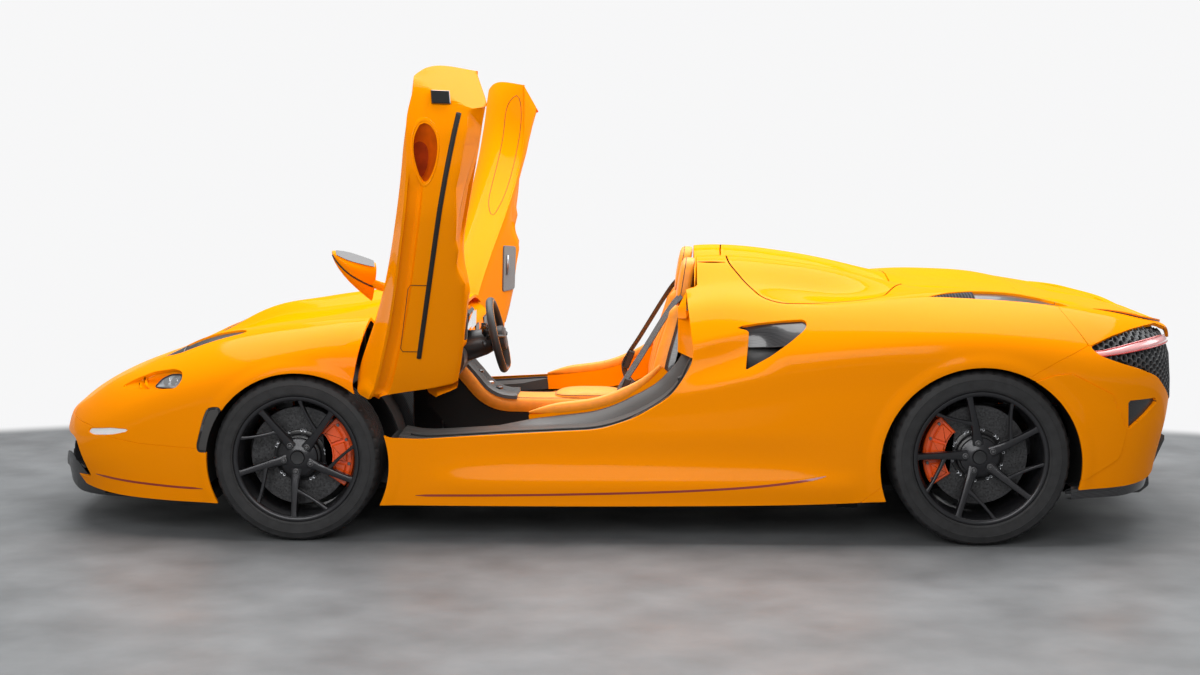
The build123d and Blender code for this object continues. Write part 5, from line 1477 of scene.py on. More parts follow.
# Half of each section, from the outer edge to the middle: share of the half width, or metres, and lift
CONSOLE_EDGE = [(0.98, -0.060), (1.02, -0.045), (1.02, -0.020), (0.97, -0.006), (0.90, -0.0005), (0.6, 0.003)]
TRAY_EDGE = [(0.112, -0.004), (0.110, 0.010), (0.095, 0.019), (0.070, 0.020), (0.058, 0.006)]
BASE_SECTION = [(-0.096, -0.055), (-0.092, -0.240), (0.092, -0.240), (0.096, -0.055)]


def console_section(s):
    half = np.interp(s, [0.0, 0.15, 0.35, 0.9, 1.0], [0.122, 0.118, 0.108, 0.108, 0.100])
    left = [(-half * y, lift) for y, lift in CONSOLE_EDGE]
    return left + [(0.0, 0.004)] + [(-y, lift) for y, lift in left[::-1]]


def tray_section(_):
    return [(-y, lift) for y, lift in TRAY_EDGE] + TRAY_EDGE[::-1]


bridge = skinned(swept(CONSOLE_TOP, console_section), ends=True)
piece("console_bridge", *bridge, LEATHER, slot="leather", stands_for=("console",), sharp=45)
piece("console_base", *skinned(swept(CONSOLE_TOP, lambda s: BASE_SECTION)), LINER, slot="black_trim",
      sharp=30)
for side, y in (("left", -0.0985), ("right", 0.0985)):
    line = swept(CONSOLE_TOP[2:], lambda s: [(y, 0.0012)]).reshape(-1, 3)
    piece("console_seam_" + side, *tube(line, 0.0011, 6), DARK_HIDE, slot="leather")


def squared(a, power):
    """A point at an angle on a squared circle of radius one."""
    ca, sa = math.cos(a), math.sin(a)
    r = (abs(ca) ** power + abs(sa) ** power) ** (-1 / power)
    return ca * r, sa * r


REST_AT, REST_HALF = np.array([-0.092, 0.0, 0.456]), np.array([0.155, 0.100, 0.034])
REST_ROWS, REST_SIDES, REST_SEAM = 14, 56, 3
rest = []
for k in range(REST_ROWS + 1):
    angle = math.pi / 2 * k / REST_ROWS
    spread, lift = math.cos(angle) ** 0.55, math.sin(angle) ** 1.1
    round_plan = [squared(2 * math.pi * j / REST_SIDES, 3.2) for j in range(REST_SIDES)]
    rest.append([REST_AT + REST_HALF * (u * spread, v * spread, lift) for u, v in round_plan])
points, faces = skinned(rest, closed=True)
faces += [tuple(reversed(range(REST_SIDES)))]
armrest = piece("armrest_pad", points, faces, LEATHER, slot="leather", sharp=60)
rest_middle = REST_AT * (1, 1, 0)
seam = (np.array(rest[REST_SEAM]) - rest_middle) * [1.004, 1.006, 1.0] + rest_middle
piece("armrest_seam", *tube(seam, 0.0014, 6, closed=True), DARK_HIDE, slot="leather")

# Switch tray in dark grey on the sweep of the console
TRAY_LINE = between(CONSOLE_TOP, -0.645, -0.400)
KNOB = [(0.0001, 0.012), (0.013, 0.012), (0.016, 0.009), (0.0165, 0.0)]
piece("switch_tray", *skinned(swept(TRAY_LINE, tray_section), ends=True), TRIM, slot="black_trim", sharp=35)
for k, (x, mat) in enumerate(((-0.575, GLOSS), (-0.530, ALLOY), (-0.490, GLOSS))):
    z = np.interp(x, TRAY_LINE[:, 0], TRAY_LINE[:, 1]) + 0.012
    piece("tray_knob_%d" % (k + 1), *lathe(KNOB, (x, 0.0, z), 28, "Z"), mat, slot="black_trim", sharp=40)

# Dash: a rolled top over a black lower half, with an instrument hood
DASH_TOP = rounded([(-0.800, 0.700), (-0.800, 0.824), (-0.650, 0.828), (-0.590, 0.775), (-0.585, 0.720)],
                   0.03)
DASH_LOW = rounded([(-0.805, 0.566), (-0.805, 0.712), (-0.592, 0.716), (-0.584, 0.660), (-0.628, 0.584)],
                   0.025)
HOOD = rounded([(-0.700, 0.790), (-0.585, 0.772), (-0.568, 0.862), (-0.606, 0.879), (-0.690, 0.868)], 0.02)
VENT = rounded([(-0.592, 0.725), (-0.592, 0.768), (-0.584, 0.768), (-0.584, 0.725)], 0.003)
SCREEN = [(-0.5645, -0.470, 0.792), (-0.5645, -0.270, 0.792), (-0.5625, -0.270, 0.856),
          (-0.5625, -0.470, 0.856)]
low_dash = slab(DASH_LOW, -0.552, 0.552, 0.012)
piece("dash_lower", *low_dash, DARK_HIDE, slot="leather", stands_for=("dashboard",), sharp=35)
piece("dash_upper", *slab(DASH_TOP, -0.555, 0.555, 0.014), PAINT_IN, sharp=35)
piece("instrument_hood", *slab(HOOD, -0.485, -0.255, 0.012), GLOSS, slot="black_trim", sharp=35)
piece("instrument_screen", SCREEN, [(3, 2, 1, 0)], GLOSS, slot="black_trim")
for name, left, right in (("centre", -0.070, 0.070), ("far", 0.30, 0.46)):
    piece("dash_vent_" + name, *slab(VENT, left, right, 0.002), BLACK, slot="black_trim", sharp=30)

# Steering column and wheel
WHEEL_AT = np.array([-0.46, -0.37, 0.748])
WHEEL_TILT = math.radians(13.0)
FORWARD = np.array([-math.cos(WHEEL_TILT), 0.0, -math.sin(WHEEL_TILT)])
UPWARD = np.array([-math.sin(WHEEL_TILT), 0.0, math.cos(WHEEL_TILT)])
ACROSS = np.array([0.0, 1.0, 0.0])


def wheel_point(u, v, w=0.0):
    """Across, up in the wheel's plane, and forwards along the column."""
    return WHEEL_AT + ACROSS * u + UPWARD * v + FORWARD * w


def wheel_ring(u, v, w, sides, offset=0.0):
    """An oval ring in the wheel's plane."""
    turns = [2 * math.pi * k / sides for k in range(sides)]
    return [wheel_point(u * math.cos(a), v * math.sin(a) + offset, w) for a in turns]


def hub_ring(size, w):
    """A squared ring of the hub, deeper below the middle."""
    ring = []
    for k in range(HUB_SIDES):
        a = 2 * math.pi * k / HUB_SIDES
        u, v = squared(a, 3)
        ring.append(wheel_point(0.062 * size * u, (0.047 + 0.008 * (math.sin(a) < 0)) * size * v, w))
    return ring


RIM_RADIUS, RIM_FLAT = 0.1595, 0.128
HUB_SIDES = 40
HUB = ((0.30, -0.030), (0.80, -0.029), (0.96, -0.024), (1.0, -0.012), (1.0, 0.016), (0.8, 0.024),
       (0.45, 0.026))
SHROUD = ((0.026, 0.030), (0.044, 0.034), (0.052, 0.060), (0.058, 0.110), (0.060, 0.150))
# Spoke angle, half width and reach
SPOKES = ((8, 0.020, 0.157), (172, 0.020, 0.157), (-90, 0.016, 0.126))

# The rim is round on top and flattened below
rim_line = []
for k in range(72):
    a = 2 * math.pi * k / 72
    r = min(RIM_RADIUS, RIM_FLAT / max(-math.sin(a), 1e-3))
    rim_line.append(wheel_point(r * math.cos(a), r * math.sin(a)))
rim_line = np.array(rim_line)
for _ in range(3):
    rim_line = (np.roll(rim_line, 1, 0) + 2 * rim_line + np.roll(rim_line, -1, 0)) / 4
grip = tube(rim_line, 0.0158, 14, closed=True, squash=0.9)
piece("wheel_rim_grip", *grip, DARK_HIDE, "steering", "leather", ("steering_wheel",))
piece("wheel_rim_stitch", *tube(rim_line + FORWARD * -0.0152, 0.0012, 6, closed=True), LEATHER, "steering",
      "leather")
hub = [hub_ring(size, w) for size, w in HUB]
piece("wheel_hub_pad", *skinned(hub, flip=True, closed=True, ends=True), DARK_HIDE, "steering", "leather",
      sharp=45)
spokes = Mesh()
for degrees, wide, reach_to in SPOKES:
    a = math.radians(degrees)
    stations = ((0.040, -0.012), (0.075, -0.014), (0.115, -0.008), (reach_to, -0.002))
    line = [wheel_point(r * math.cos(a), r * math.sin(a), w) for r, w in stations]
    spokes.add(*tube(line, [wide * 1.15, wide, wide * 0.8, wide * 0.95], 12, squash=0.34))
piece("wheel_spokes", *spokes.merged(), TRIM, "steering", "black_trim", sharp=50)
PADDLE = ((0.085, 0.010, 0.034), (0.120, 0.040, 0.036), (0.130, 0.085, 0.034))
for side, sign in (("left", -1), ("right", 1)):
    line = [wheel_point(sign * u, v, w) for u, v, w in PADDLE]
    piece("shift_paddle_" + side, *tube(line, [0.012, 0.017, 0.010], 10, squash=0.25), GLOSS, "steering",
          "black_trim")
shroud = [wheel_ring(size, size * 1.05, w, 28, -0.004) for size, w in SHROUD]
points, faces = skinned(shroud, flip=True, closed=True)
piece("column_shroud", points, faces + [tuple(range(28))], BLACK, slot="black_trim", sharp=40)
STALK = ((0.045, 0.0, 0.060), (0.090, -0.006, 0.052), (0.150, -0.004, 0.046))
for side, sign in (("left", -1), ("right", 1)):
    line = [wheel_point(sign * u, v, w) for u, v, w in STALK]
    piece("column_stalk_" + side, *tube(line, [0.008, 0.0065, 0.009], 10, squash=0.7), BLACK,
          slot="black_trim")

# Seats: a moulded shell, a quilted pad with bolsters, a headrest and a shoulder belt
SEAT_KNOTS = [(-0.322, 0.318), (-0.300, 0.356), (-0.20, 0.366), (-0.05, 0.352), (0.08, 0.336), (0.150, 0.352),
              (0.192, 0.410), (0.226, 0.520), (0.252, 0.640), (0.272, 0.760), (0.290, 0.860), (0.300, 0.892)]
SEAT_LINE = smooth_line(SEAT_KNOTS, 0.014)
SEAT_NORMALS = path_normals(SEAT_LINE)
SEAT_RUN = run_along(SEAT_LINE)


def seat_surface(y0, lift, half, wings=1.0):
    """Seat rows: y across, raised bolsters at the sides, soft channels across the middle."""
    across = np.linspace(-1, 1, SEAT_COLUMNS)
    aside = np.abs(across)
    rows = []
    for point, normal, s in zip(SEAT_LINE, SEAT_NORMALS, SEAT_RUN):
        share = s / SEAT_RUN[-1]
        backness = rise(np.array(point[1]), 0.38, 0.52)
        width = half * (1 - 0.16 * rise(np.array(share), 0.72, 1.0))
        height = 0.030 + 0.034 * backness * (1 - 0.75 * rise(np.array(share), 0.75, 0.98))
        wing = height * rise(aside, 0.60, 0.86) * wings - 0.030 * rise(aside, 0.93, 1.0) * wings
        channel = 0.0035 * np.abs(np.cos(math.pi * s / 0.075)) ** 0.5 * (1 - rise(aside, 0.52, 0.60))
        dent = -0.005 * bump(aside, 0.61, 0.05)
        crown = 0.008 * (1 - across ** 2)
        ends = -0.020 * (1 - rise(np.array(s), 0.0, 0.03)) - 0.015 * rise(np.array(share), 0.975, 1.0)
        out = lift + wing + channel + dent + crown + ends
        rows.append(np.stack([point[0] + normal[0] * out, y0 + across * width, point[1] + normal[1] * out],
                             1))
    return np.array(rows)


def cushion(top, bottom):
    """Two seat surfaces joined round their edge."""
    count, columns = top.shape[:2]
    base = count * columns
    faces = [tuple(f) for f in grid_faces(count, columns)]
    faces += [tuple(reversed([i + base for i in f])) for f in faces]
    rim = list(range(columns)) + [r * columns + columns - 1 for r in range(1, count)]
    rim += [(count - 1) * columns + j for j in range(columns - 2, -1, -1)]
    rim += [r * columns for r in range(count - 2, 0, -1)]
    faces += [(i + base, j + base, j, i) for i, j in zip(rim, rim[1:] + rim[:1])]
    return np.concatenate([top.reshape(-1, 3), bottom.reshape(-1, 3)]), flipped(faces)


def head_ring(y0, size, sink):
    """A squared ring of the headrest, narrower on top."""
    ring = []
    for k in range(HEAD_SIDES):
        a = 2 * math.pi * k / HEAD_SIDES
        u, v = squared(a, 3.2)
        rise_by = 0.100 * size * v
        ring.append((0.318 - sink + 0.16 * rise_by, y0 + (0.090 - 0.012 * math.sin(a)) * size * u,
                     0.985 + rise_by))
    return ring


def strap(y0):
    """The shoulder belt's band: it leans towards the middle of the seat."""
    outwards = math.copysign(1.0, y0)
    normals = path_normals(BELT_LINE)
    drift = 0.03 * np.linspace(0, 1, len(BELT_LINE)) * outwards
    edges = []
    for thick, dy in ((-0.0012, -0.024), (-0.0012, 0.024), (0.0012, 0.024), (0.0012, -0.024)):
        tilt = thick + math.copysign(0.010, dy * y0)
        xz = BELT_LINE + normals * tilt
        edges.append(np.stack([xz[:, 0], y0 + 0.10 * outwards + dy + drift, xz[:, 1]], 1))
    return np.stack(edges, 1)


SEAT_COLUMNS = 45
SEAM_MARGIN = 3
HEAD_SIDES = 44
HEAD = ((0.86, -0.026), (0.97, -0.022), (1.0, -0.010), (1.0, 0.012), (0.96, 0.022), (0.80, 0.028),
        (0.40, 0.031))
BELT_KNOTS = [(0.300, 0.935), (0.272, 0.905), (0.225, 0.835), (0.170, 0.745), (0.115, 0.655), (0.070, 0.585),
              (0.046, 0.535), (0.056, 0.480), (0.100, 0.430), (0.150, 0.395)]
BELT_LINE = smooth_line(BELT_KNOTS, 0.012)
TONGUE = rounded([(0.040, 0.520), (0.066, 0.512), (0.098, 0.590), (0.072, 0.600)], 0.006)
for side, y0, stands in (("left", -0.37, True), ("right", 0.37, False)):
    top = seat_surface(y0, 0.0, 0.212)
    pad = cushion(top, seat_surface(y0, -0.020, 0.214, 0.75))
    shell = cushion(seat_surface(y0, -0.021, 0.222, 0.78), seat_surface(y0, -0.040, 0.224, 0.70))
    seat_pad = piece("seat_pad_" + side, *pad, LEATHER, "root", "leather", ("seat_pads",) * stands, sharp=60)
    piece("seat_shell_" + side, *shell, CARBON, "root", "carbon", ("seat_shells",) * stands, sharp=60)
    for tag, edge_at in (("inner", 0.60), ("outer", -0.60)):
        column = round((edge_at + 1) / 2 * (SEAT_COLUMNS - 1))
        inner = slice(SEAM_MARGIN, -SEAM_MARGIN)
        lift = np.insert(SEAT_NORMALS[inner], 1, 0.0, axis=1) * 0.001
        piece("seat_seam_%s_%s" % (side, tag), *tube(top[inner, column] + lift, 0.0013, 6), DARK_HIDE,
              slot="leather")
    head = [head_ring(y0, size, sink) for size, sink in HEAD]
    padding = skinned(head, flip=True, closed=True, ends=True)
    headrest = piece("headrest_" + side, *padding, LEATHER, "root", "leather", ("headrests",) * stands,
                     sharp=60)
    piece("headrest_seam_" + side, *tube(np.array(head[3]), 0.0015, 6, closed=True), DARK_HIDE,
          slot="leather")
    points, faces = skinned(strap(y0), closed=True, ends=True)
    piece("belt_" + side, points, flipped(faces), WEBBING, "root", "webbing", ("seat_belts",) * stands,
          sharp=40)
    tongue_y = y0 + math.copysign(0.12, y0)
    tongue = slab(TONGUE, tongue_y - 0.030, tongue_y + 0.030, 0.003)
    piece("belt_tongue_" + side, *tongue, BLACK, slot="black_trim", sharp=35)


# ---------------------------------------------------------------------------------------------
# Tail: honeycomb grille wrapped round the corners, light bars, rear face, splitter
# ---------------------------------------------------------------------------------------------
TAIL_PLAN = smooth_line([(2.302, 0.0), (2.300, 0.25), (2.290, 0.47), (2.237, 0.688), (2.152, 0.812),
                         (2.02, 0.896), (1.85, 0.935), (1.80, 0.943)], 0.01)
TAIL_RUN = run_along(TAIL_PLAN)
TAIL_OUT = path_normals(TAIL_PLAN)
TAIL_OUT *= np.sign(TAIL_OUT[0, 0])


def tail_point(s, z, lift):
    """A point on the tail's wrapped face: s runs from the middle to the flank, lift outwards."""
    x, y = np.interp(s, TAIL_RUN, TAIL_PLAN[:, 0]), np.interp(s, TAIL_RUN, TAIL_PLAN[:, 1])
    nx, ny = np.interp(s, TAIL_RUN, TAIL_OUT[:, 0]), np.interp(s, TAIL_RUN, TAIL_OUT[:, 1])
    tuck = np.interp(z, [0.50, 0.62, 0.72, 0.76, 0.80, 0.85], [-0.010, -0.008, 0.002, 0.018, 0.045, 0.110])
    return np.stack([x + nx * (lift - tuck * 0.75), y + ny * (lift - tuck), np.broadcast_to(z, np.shape(x))],
                    -1)


def tail_top(x):
    return np.interp(x, [1.85, 2.02, 2.16, 2.25, 2.300, 2.32], [0.900, 0.868, 0.836, 0.812, 0.798, 0.796])


def rearward(points, faces, probe=0):
    """The mesh with its faces turned so that the probed one faces the rear."""
    points = np.asarray(points, float).reshape(-1, 3)
    a, b, c = (points[i] for i in faces[probe][:3])
    return points, flipped(faces) if np.cross(b - a, c - a)[0] < 0 else faces


def past_lamp(x, z):
    """How far a place lies inside the lamp opening of the flank."""
    return outline_distance(np.array([[x, z]]), LAMP)[0]


HEX_ANGLES = np.arange(6) * math.pi / 3
HEX_PITCH, HEX_ROWS, HEX_LOW = 0.027, 14, 0.530
COLUMN_STEP = HEX_PITCH * 0.866
CORNER_X = 2.262
# Rings of a cell: size as a share of the pitch, lift off the face
CELL_RINGS = ((0.5774, -0.010), (0.47, -0.0085), (0.43, -0.012), (0.42, -0.022))
mesh_face = Mesh()
for i in range(int(TAIL_RUN[-1] / COLUMN_STEP) + 1):
    for j in range(HEX_ROWS):
        s, z = i * HEX_PITCH * 0.866, HEX_LOW + (j + 0.5 * (i % 2)) * HEX_PITCH
        x = tail_point(s, z, 0.0)[0]
        if z > tail_top(x) - 0.012 or (x < CORNER_X and past_lamp(x, z) > -0.004) or z < 0.556:
            continue
        rings = []
        for size, lift in CELL_RINGS:
            ss, zz = s + HEX_PITCH * size * np.cos(HEX_ANGLES), z + HEX_PITCH * size * np.sin(HEX_ANGLES)
            side = np.stack([np.ones(6), np.where(ss < 0, -1.0, 1.0), np.ones(6)], 1)
            rings.append(tail_point(np.abs(ss), zz, lift) * side)
        mesh_face.add(*skinned(rings, closed=True))
on_both_sides("tail_honeycomb", *rearward(*mesh_face.merged()), HONEYCOMB, "black_trim", ("rear_grille",), 30)

back_run, back_z = np.linspace(0.0, TAIL_RUN[-1] - 0.05, 70), np.linspace(0.535, 0.875, 14)
points, faces = skinned([[tail_point(s, z, -0.026) for z in back_z] for s in back_run])
keep = []
for face in faces:
    x, _, z = points[list(face)].mean(0)
    if z < tail_top(x) + 0.022 and (x > CORNER_X or past_lamp(x, z) < 0.006):
        keep.append(face)
on_both_sides("tail_backing", *rearward(points, keep), BLACK, "black_trim", ("tail_lamps",))

# Light bar: a slim pale blade with a red outline
BAR_STEPS = np.linspace(0.0, 1.0, 40)
BAR_SECTION = ((-1.0, -0.008), (-0.8, 0.002), (0.0, 0.006), (0.8, 0.002), (1.0, -0.008))


def bar_at(t, share, lift):
    middle = 0.764 + 0.026 * math.sin(math.pi * min(1.0, 1.18 * t)) - 0.012 * t
    half = 0.0015 + 0.0155 * math.sin(math.pi * t) ** 0.6
    return tail_point(0.42 + 0.80 * t, middle + half * share, lift)


bar = [[bar_at(t, share, lift) for share, lift in BAR_SECTION] for t in BAR_STEPS]
on_both_sides("tail_light_bar", *rearward(*skinned(bar), probe=4), LED_PINK, "tail_lamp")
bar_outline = Mesh()
for share in (-0.9, 0.9):
    bar_outline.add(*tube([bar_at(t, share, 0.001) for t in BAR_STEPS], 0.0028, 8))
on_both_sides("tail_light_outline", *bar_outline.merged(), LED_RED, "tail_lamp")

# Painted rear face under the honeycomb
face_rows = []
for z in (0.292, 0.300, 0.34, 0.40, 0.46, 0.52, 0.545, 0.552):
    x = np.interp(z, [0.29, 0.42, 0.55], [2.232, 2.262, 2.284]) - 0.010 * (z > 0.55) - 0.010 * (z < 0.295)
    face_rows.append([(x + 0.010 * (1 - (y / 0.50) ** 2), y, z) for y in np.linspace(-0.49, 0.49, 41)])
piece("rear_face", *skinned(face_rows), PAINT, sharp=40)

# Diffuser: a lip under the bumper, a ramp and upright fins
LIP_PLAN = [(1.815, 0.905), (1.90, 0.890), (2.02, 0.866), (2.10, 0.800), (2.150, 0.70), (2.176, 0.56),
            (2.188, 0.40), (2.196, 0.20), (2.198, 0.0)]
LIP_SECTION = [(-0.05, 0.246), (0.000, 0.240), (0.006, 0.216), (0.000, 0.190), (-0.06, 0.184)]
lip_run = smooth_line(LIP_PLAN, 0.02)
lip_out = path_normals(lip_run)
lip_out *= np.sign(lip_out[-1, 0])
lip_rise = np.interp(lip_run[:, 0], [1.80, 2.02, 2.15, 2.198], [-0.010, 0.0, 0.014, 0.028])
lip_rows = []
for q, n, up in zip(lip_run, lip_out, lip_rise):
    lip_rows.append([(q[0] + n[0] * off, q[1] + n[1] * off, z + up) for off, z in LIP_SECTION])
on_both_sides("diffuser_lip", *skinned(lip_rows), CARBON, "carbon", ("diffuser",), 40)
RAMP = ((1.850, 0.152), (1.95, 0.172), (2.05, 0.206), (2.14, 0.240), (2.190, 0.262))
ramp_rows = [[(x, y, z) for y in np.linspace(-0.60, 0.60, 13)] for x, z in RAMP]
piece("diffuser_ramp", *skinned(ramp_rows, flip=True), CARBON, slot="carbon")
FIN = rounded([(1.86, 0.140), (2.16, 0.150), (2.196, 0.180), (2.190, 0.262), (2.05, 0.212), (1.86, 0.160)],
              0.008)
FIN_HALF = 0.004
fins = Mesh()
for y in (0.10, 0.27, 0.44, 0.585):
    fins.add(*slab(FIN, y - FIN_HALF, y + FIN_HALF, 0.001))
on_both_sides("diffuser_fins", *fins.merged(), CARBON, "carbon", sharp=40)

# Exhaust trims round the two central pipes
TIP = [(0.043, 0.000), (0.043, 0.230), (0.0455, 0.2335), (0.0480, 0.230), (0.0485, 0.170), (0.0485, 0.0)]
for side, y in (("left", -0.085), ("right", 0.085)):
    piece("exhaust_tip_" + side, *lathe(TIP, (2.060, y, 0.660), 48, "X"), EXHAUST, slot="exhaust", sharp=40)

# Splitter: a thin blade with an upturned corner
BLADE_PLAN = [(-2.298, 0.0), (-2.294, 0.25), (-2.245, 0.48), (-2.170, 0.645), (-2.03, 0.765), (-1.86, 0.800),
              (-1.70, 0.800)]


def upturned(points):
    """Lifts the blade's nose."""
    points[:, 2] += 0.042 * rise(-points[:, 0], 2.13, 2.29)
    return points


plan = smooth_line(BLADE_PLAN, 0.02)
points, faces = slab(np.concatenate([plan[::-1], plan[1:] * [1, -1]])[::-1], 0.146, 0.160, 0.004, "XY")
piece("splitter_blade", upturned(points), faces, BLACK, slot="carbon", stands_for=("front_splitter",),
      sharp=35)
fin = np.array([q for q in plan if 0.40 < q[1] < 0.775])
rows = []
for k, (q, out) in enumerate(zip(fin, path_normals(fin))):
    t = k / (len(fin) - 1)
    height = 0.012 + 0.112 * math.sin(math.pi * min(max(t, 0.02), 0.98)) ** 1.3
    rows.append([(q[0] + out[0] * off - 0.018 * f * (1 - t), q[1] + out[1] * off, 0.154 + height * f)
                 for f, off in ((0.0, -0.004), (1.0, -0.0035), (1.0, 0.0005), (0.0, 0.001))])
points, faces = skinned(rows, closed=True)
faces += caps(len(rows), 4)
on_both_sides("splitter_fin", upturned(points), faces, BLACK, "black_trim", sharp=40)

# Spoiler lip: painted above, dark below, proud of the deck's trailing edge; the dark strip below is painted
# shade for the gap under the lip
LIP_EDGE = [(1.935, 0.683), (2.04, 0.668), (2.138, 0.644), (2.215, 0.560), (2.262, 0.42), (2.280, 0.20),
            (2.284, 0.0)]
LIP_DEEP, LIP_WIDE = 0.030, 0.016
ground = project(smooth_line(LIP_EDGE, 0.02), PLAN)[0]
# The second strip, black and set back under the lip, is painted shade of the gap below it
for name, low, high, set_back, mat, slot in (("deck_lip", 0.006, 0.011, 0.0, PAINT, "paint"),
                                             ("deck_lip_gap", -0.004, 0.0062, 0.003, BLACK, "black_trim")):
    rows = []
    for k, (x, y, z) in enumerate(ground):
        swell = 0.15 + 0.85 * math.sin(min(math.pi / 2, 9 * k / (len(ground) - 1)))
        bottom, top = z + low * swell, z + high * swell
        rows.append([(x - LIP_DEEP, y - LIP_WIDE, bottom), (x - LIP_DEEP, y - LIP_WIDE, top - 0.001),
                     (x - set_back, y - set_back, top), (x - set_back, y - set_back, bottom)])
    on_both_sides(name, *skinned(rows, closed=True), mat, slot, sharp=40)

# Deck outlets: mesh at the front of each
CELL = 0.0125
HEX = np.stack([np.cos(HEX_ANGLES), np.sin(HEX_ANGLES)], 1)
cells = Mesh()
for i in range(15):
    for j in range(9):
        spot = np.array([1.29 + i * CELL, 0.640 + (j + 0.5 * (i % 2)) * CELL])
        if spot[0] > 1.46 or outline_distance(spot[None], DECK_VENT)[0] > -0.006:
            continue
        rings = []
        for size, sink in ((0.58, 0.004), (0.46, 0.003), (0.42, 0.007)):
            points, normals = project(spot + CELL * size * HEX, PLAN)
            rings.append(points - normals * sink)
        cells.add(*skinned(rings, closed=True))
on_both_sides("deck_outlet_mesh", *cells.merged(), HONEYCOMB, "black_trim", sharp=30)

# Slanted jamb behind each door
JAMB_X, JAMB_Y = 0.286, 0.63
JAMB_EDGE = [(0.345, 0.722), (0.346, 0.750), (0.340, 0.81), (0.326, 0.90)]
jamb = []
for x, z in smooth_line(JAMB_EDGE, 0.015):
    on_skin = project([(x + 0.004, z)])[0][0]
    jamb.append([on_skin - [0.0, 0.003, 0.0], (min(x + 0.004, JAMB_X), JAMB_Y, z)])
for y in np.linspace(0.80, 0.62, 8):
    on_skin = project([(0.318, y)], PLAN)[0][0]
    jamb.append([on_skin - [0.0, 0.0, 0.003], (JAMB_X, JAMB_Y, min(on_skin[2] - 0.02, 0.90))])
on_both_sides("door_jamb", *skinned(jamb, flip=True), PAINT_IN, "paint", sharp=40)

# Finishes of the parts that come straight from the frame
CARRIED = {
    "underfloor": LINER, "arch_liners": LINER, "tub": CARBON, "exhaust": EXHAUST, "pedals": ALLOY,
    "hinge_brackets": ALLOY, "front_frame": DARK_ALLOY, "rear_frame": DARK_ALLOY, "engine": DARK_ALLOY,
    "suspension": DARK_ALLOY,
    **{"upright_%s_%s" % (end, side): DARK_ALLOY for end in ("front", "rear") for side in ("left", "right")},
}
for obj in bpy.data.objects:
    if obj.type == "MESH" and obj.name in CARRIED:
        for slot in obj.material_slots:
            slot.material = CARRIED[obj.name]

# ---------------------------------------------------------------------------------------------
# Floor, lights, camera
# ---------------------------------------------------------------------------------------------
FLOOR_GREY = (0.165, 0.172, 0.178)
BACKDROP = (0.93, 0.93, 0.935, 1)
FLOOR_HALF = 30
FADE_START, FADE_END = 5.30, 5.60

# The grey floor fades into the pale backdrop at a distance from the middle
FLOOR = material("studio_floor", FLOOR_GREY, 0.5, spec=0.35, drift=(0.20, 3.2, 12.0), polish=(0.38, 0.6, 2.2))
PALE = node(FLOOR, "ShaderNodeEmission", Color=BACKDROP)
SHIFT = node(FLOOR, "ShaderNodeMapping", Location=(0.0, 3.0, 0.0), Scale=(0.8, 1.0, 1.0))
FAR = node(FLOOR, "ShaderNodeVectorMath", operation="LENGTH")
link(FLOOR, coords(FLOOR), SHIFT.inputs["Vector"])
link(FLOOR, SHIFT.outputs["Vector"], FAR.inputs[0])
FADE = node(FLOOR, "ShaderNodeMapRange", interpolation_type="SMOOTHSTEP", From_Min=FADE_START,
            From_Max=FADE_END)
MIX = node(FLOOR, "ShaderNodeMixShader")
link(FLOOR, FAR.outputs["Value"], FADE.inputs["Value"])
link(FLOOR, FADE.outputs["Result"], MIX.inputs["Fac"])
link(FLOOR, shader(FLOOR).outputs["BSDF"], MIX.inputs[1])
link(FLOOR, PALE.outputs["Emission"], MIX.inputs[2])
link(FLOOR, MIX.outputs["Shader"], FLOOR.node_tree.nodes["Material Output"].inputs["Surface"])
corners = [(x * FLOOR_HALF, y * FLOOR_HALF, 0) for x, y in ((-1, -1), (1, -1), (1, 1), (-1, 1))]
floor = make_object("floor", corners, [(0, 1, 2, 3)], FLOOR, smooth=False)

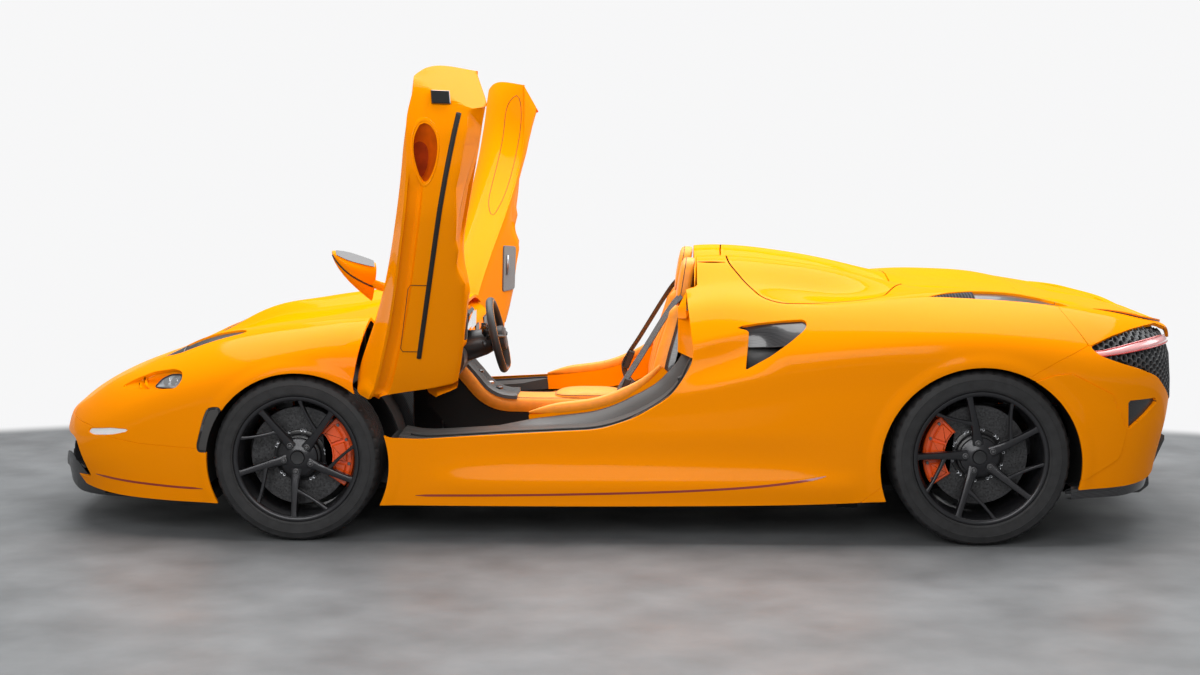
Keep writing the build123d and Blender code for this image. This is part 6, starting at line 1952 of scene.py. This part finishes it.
# The camera sees a pale backdrop; everything else is lit by a weaker white sky
SKY_STRENGTH = 0.30
world = bpy.data.worlds.new("studio")
bpy.context.scene.world = world
world.use_nodes = True
tree = world.node_tree
sky = tree.nodes["Background"]
sky.inputs["Color"].default_value = (1.0, 1.0, 1.0, 1)
sky.inputs["Strength"].default_value = SKY_STRENGTH
backdrop = tree.nodes.new("ShaderNodeBackground")
backdrop.inputs["Color"].default_value = BACKDROP
backdrop.inputs["Strength"].default_value = 1.0
path = tree.nodes.new("ShaderNodeLightPath")
blend = tree.nodes.new("ShaderNodeMixShader")
tree.links.new(path.outputs["Is Camera Ray"], blend.inputs["Fac"])
tree.links.new(sky.outputs["Background"], blend.inputs[1])
tree.links.new(backdrop.outputs["Background"], blend.inputs[2])
tree.links.new(blend.outputs["Shader"], tree.nodes["World Output"].inputs["Surface"])


def lamp(name, place, target, size, power):
    """A rectangular area light that points at the target."""
    data = bpy.data.lights.new(name, "AREA")
    data.shape = "RECTANGLE"
    data.size, data.size_y = size
    data.energy = power
    obj = bpy.data.objects.new(name, data)
    obj.location = place
    obj.rotation_euler = (Vector(target) - Vector(place)).to_track_quat("-Z", "Y").to_euler()
    bpy.context.scene.collection.objects.link(obj)


lamp("overhead", (0.2, 0.5, 4.2), (0.2, 0.0, 0.0), (8.0, 4.2), 520)
lamp("side_fill", (-1.0, -6.5, 3.2), (0.0, 0.0, 0.6), (6.0, 2.6), 230)
lamp("rim_rear", (6.0, 1.0, 3.2), (1.0, 0.0, 0.6), (2.5, 2.0), 45)
lamp("far_side", (0.0, 5.0, 4.4), (0.0, 0.0, 0.8), (6.0, 2.0), 50)

CAMERA_AT = (0.2309, -8.3288, 1.6244)
YAW, PITCH = 0.0336, 0.1094
SENSOR_WIDTH, FOCAL_LENGTH = 36.0, 57.6
camera_data = bpy.data.cameras.new("photo_camera")
camera_data.sensor_width = SENSOR_WIDTH
camera_data.lens = FOCAL_LENGTH
camera = bpy.data.objects.new("photo_camera", camera_data)
camera.location = CAMERA_AT
camera.rotation_euler = (math.pi / 2 - PITCH, 0.0, YAW)
bpy.context.scene.collection.objects.link(camera)
bpy.context.scene.camera = camera
bpy.context.scene.view_settings.view_transform = "Standard"
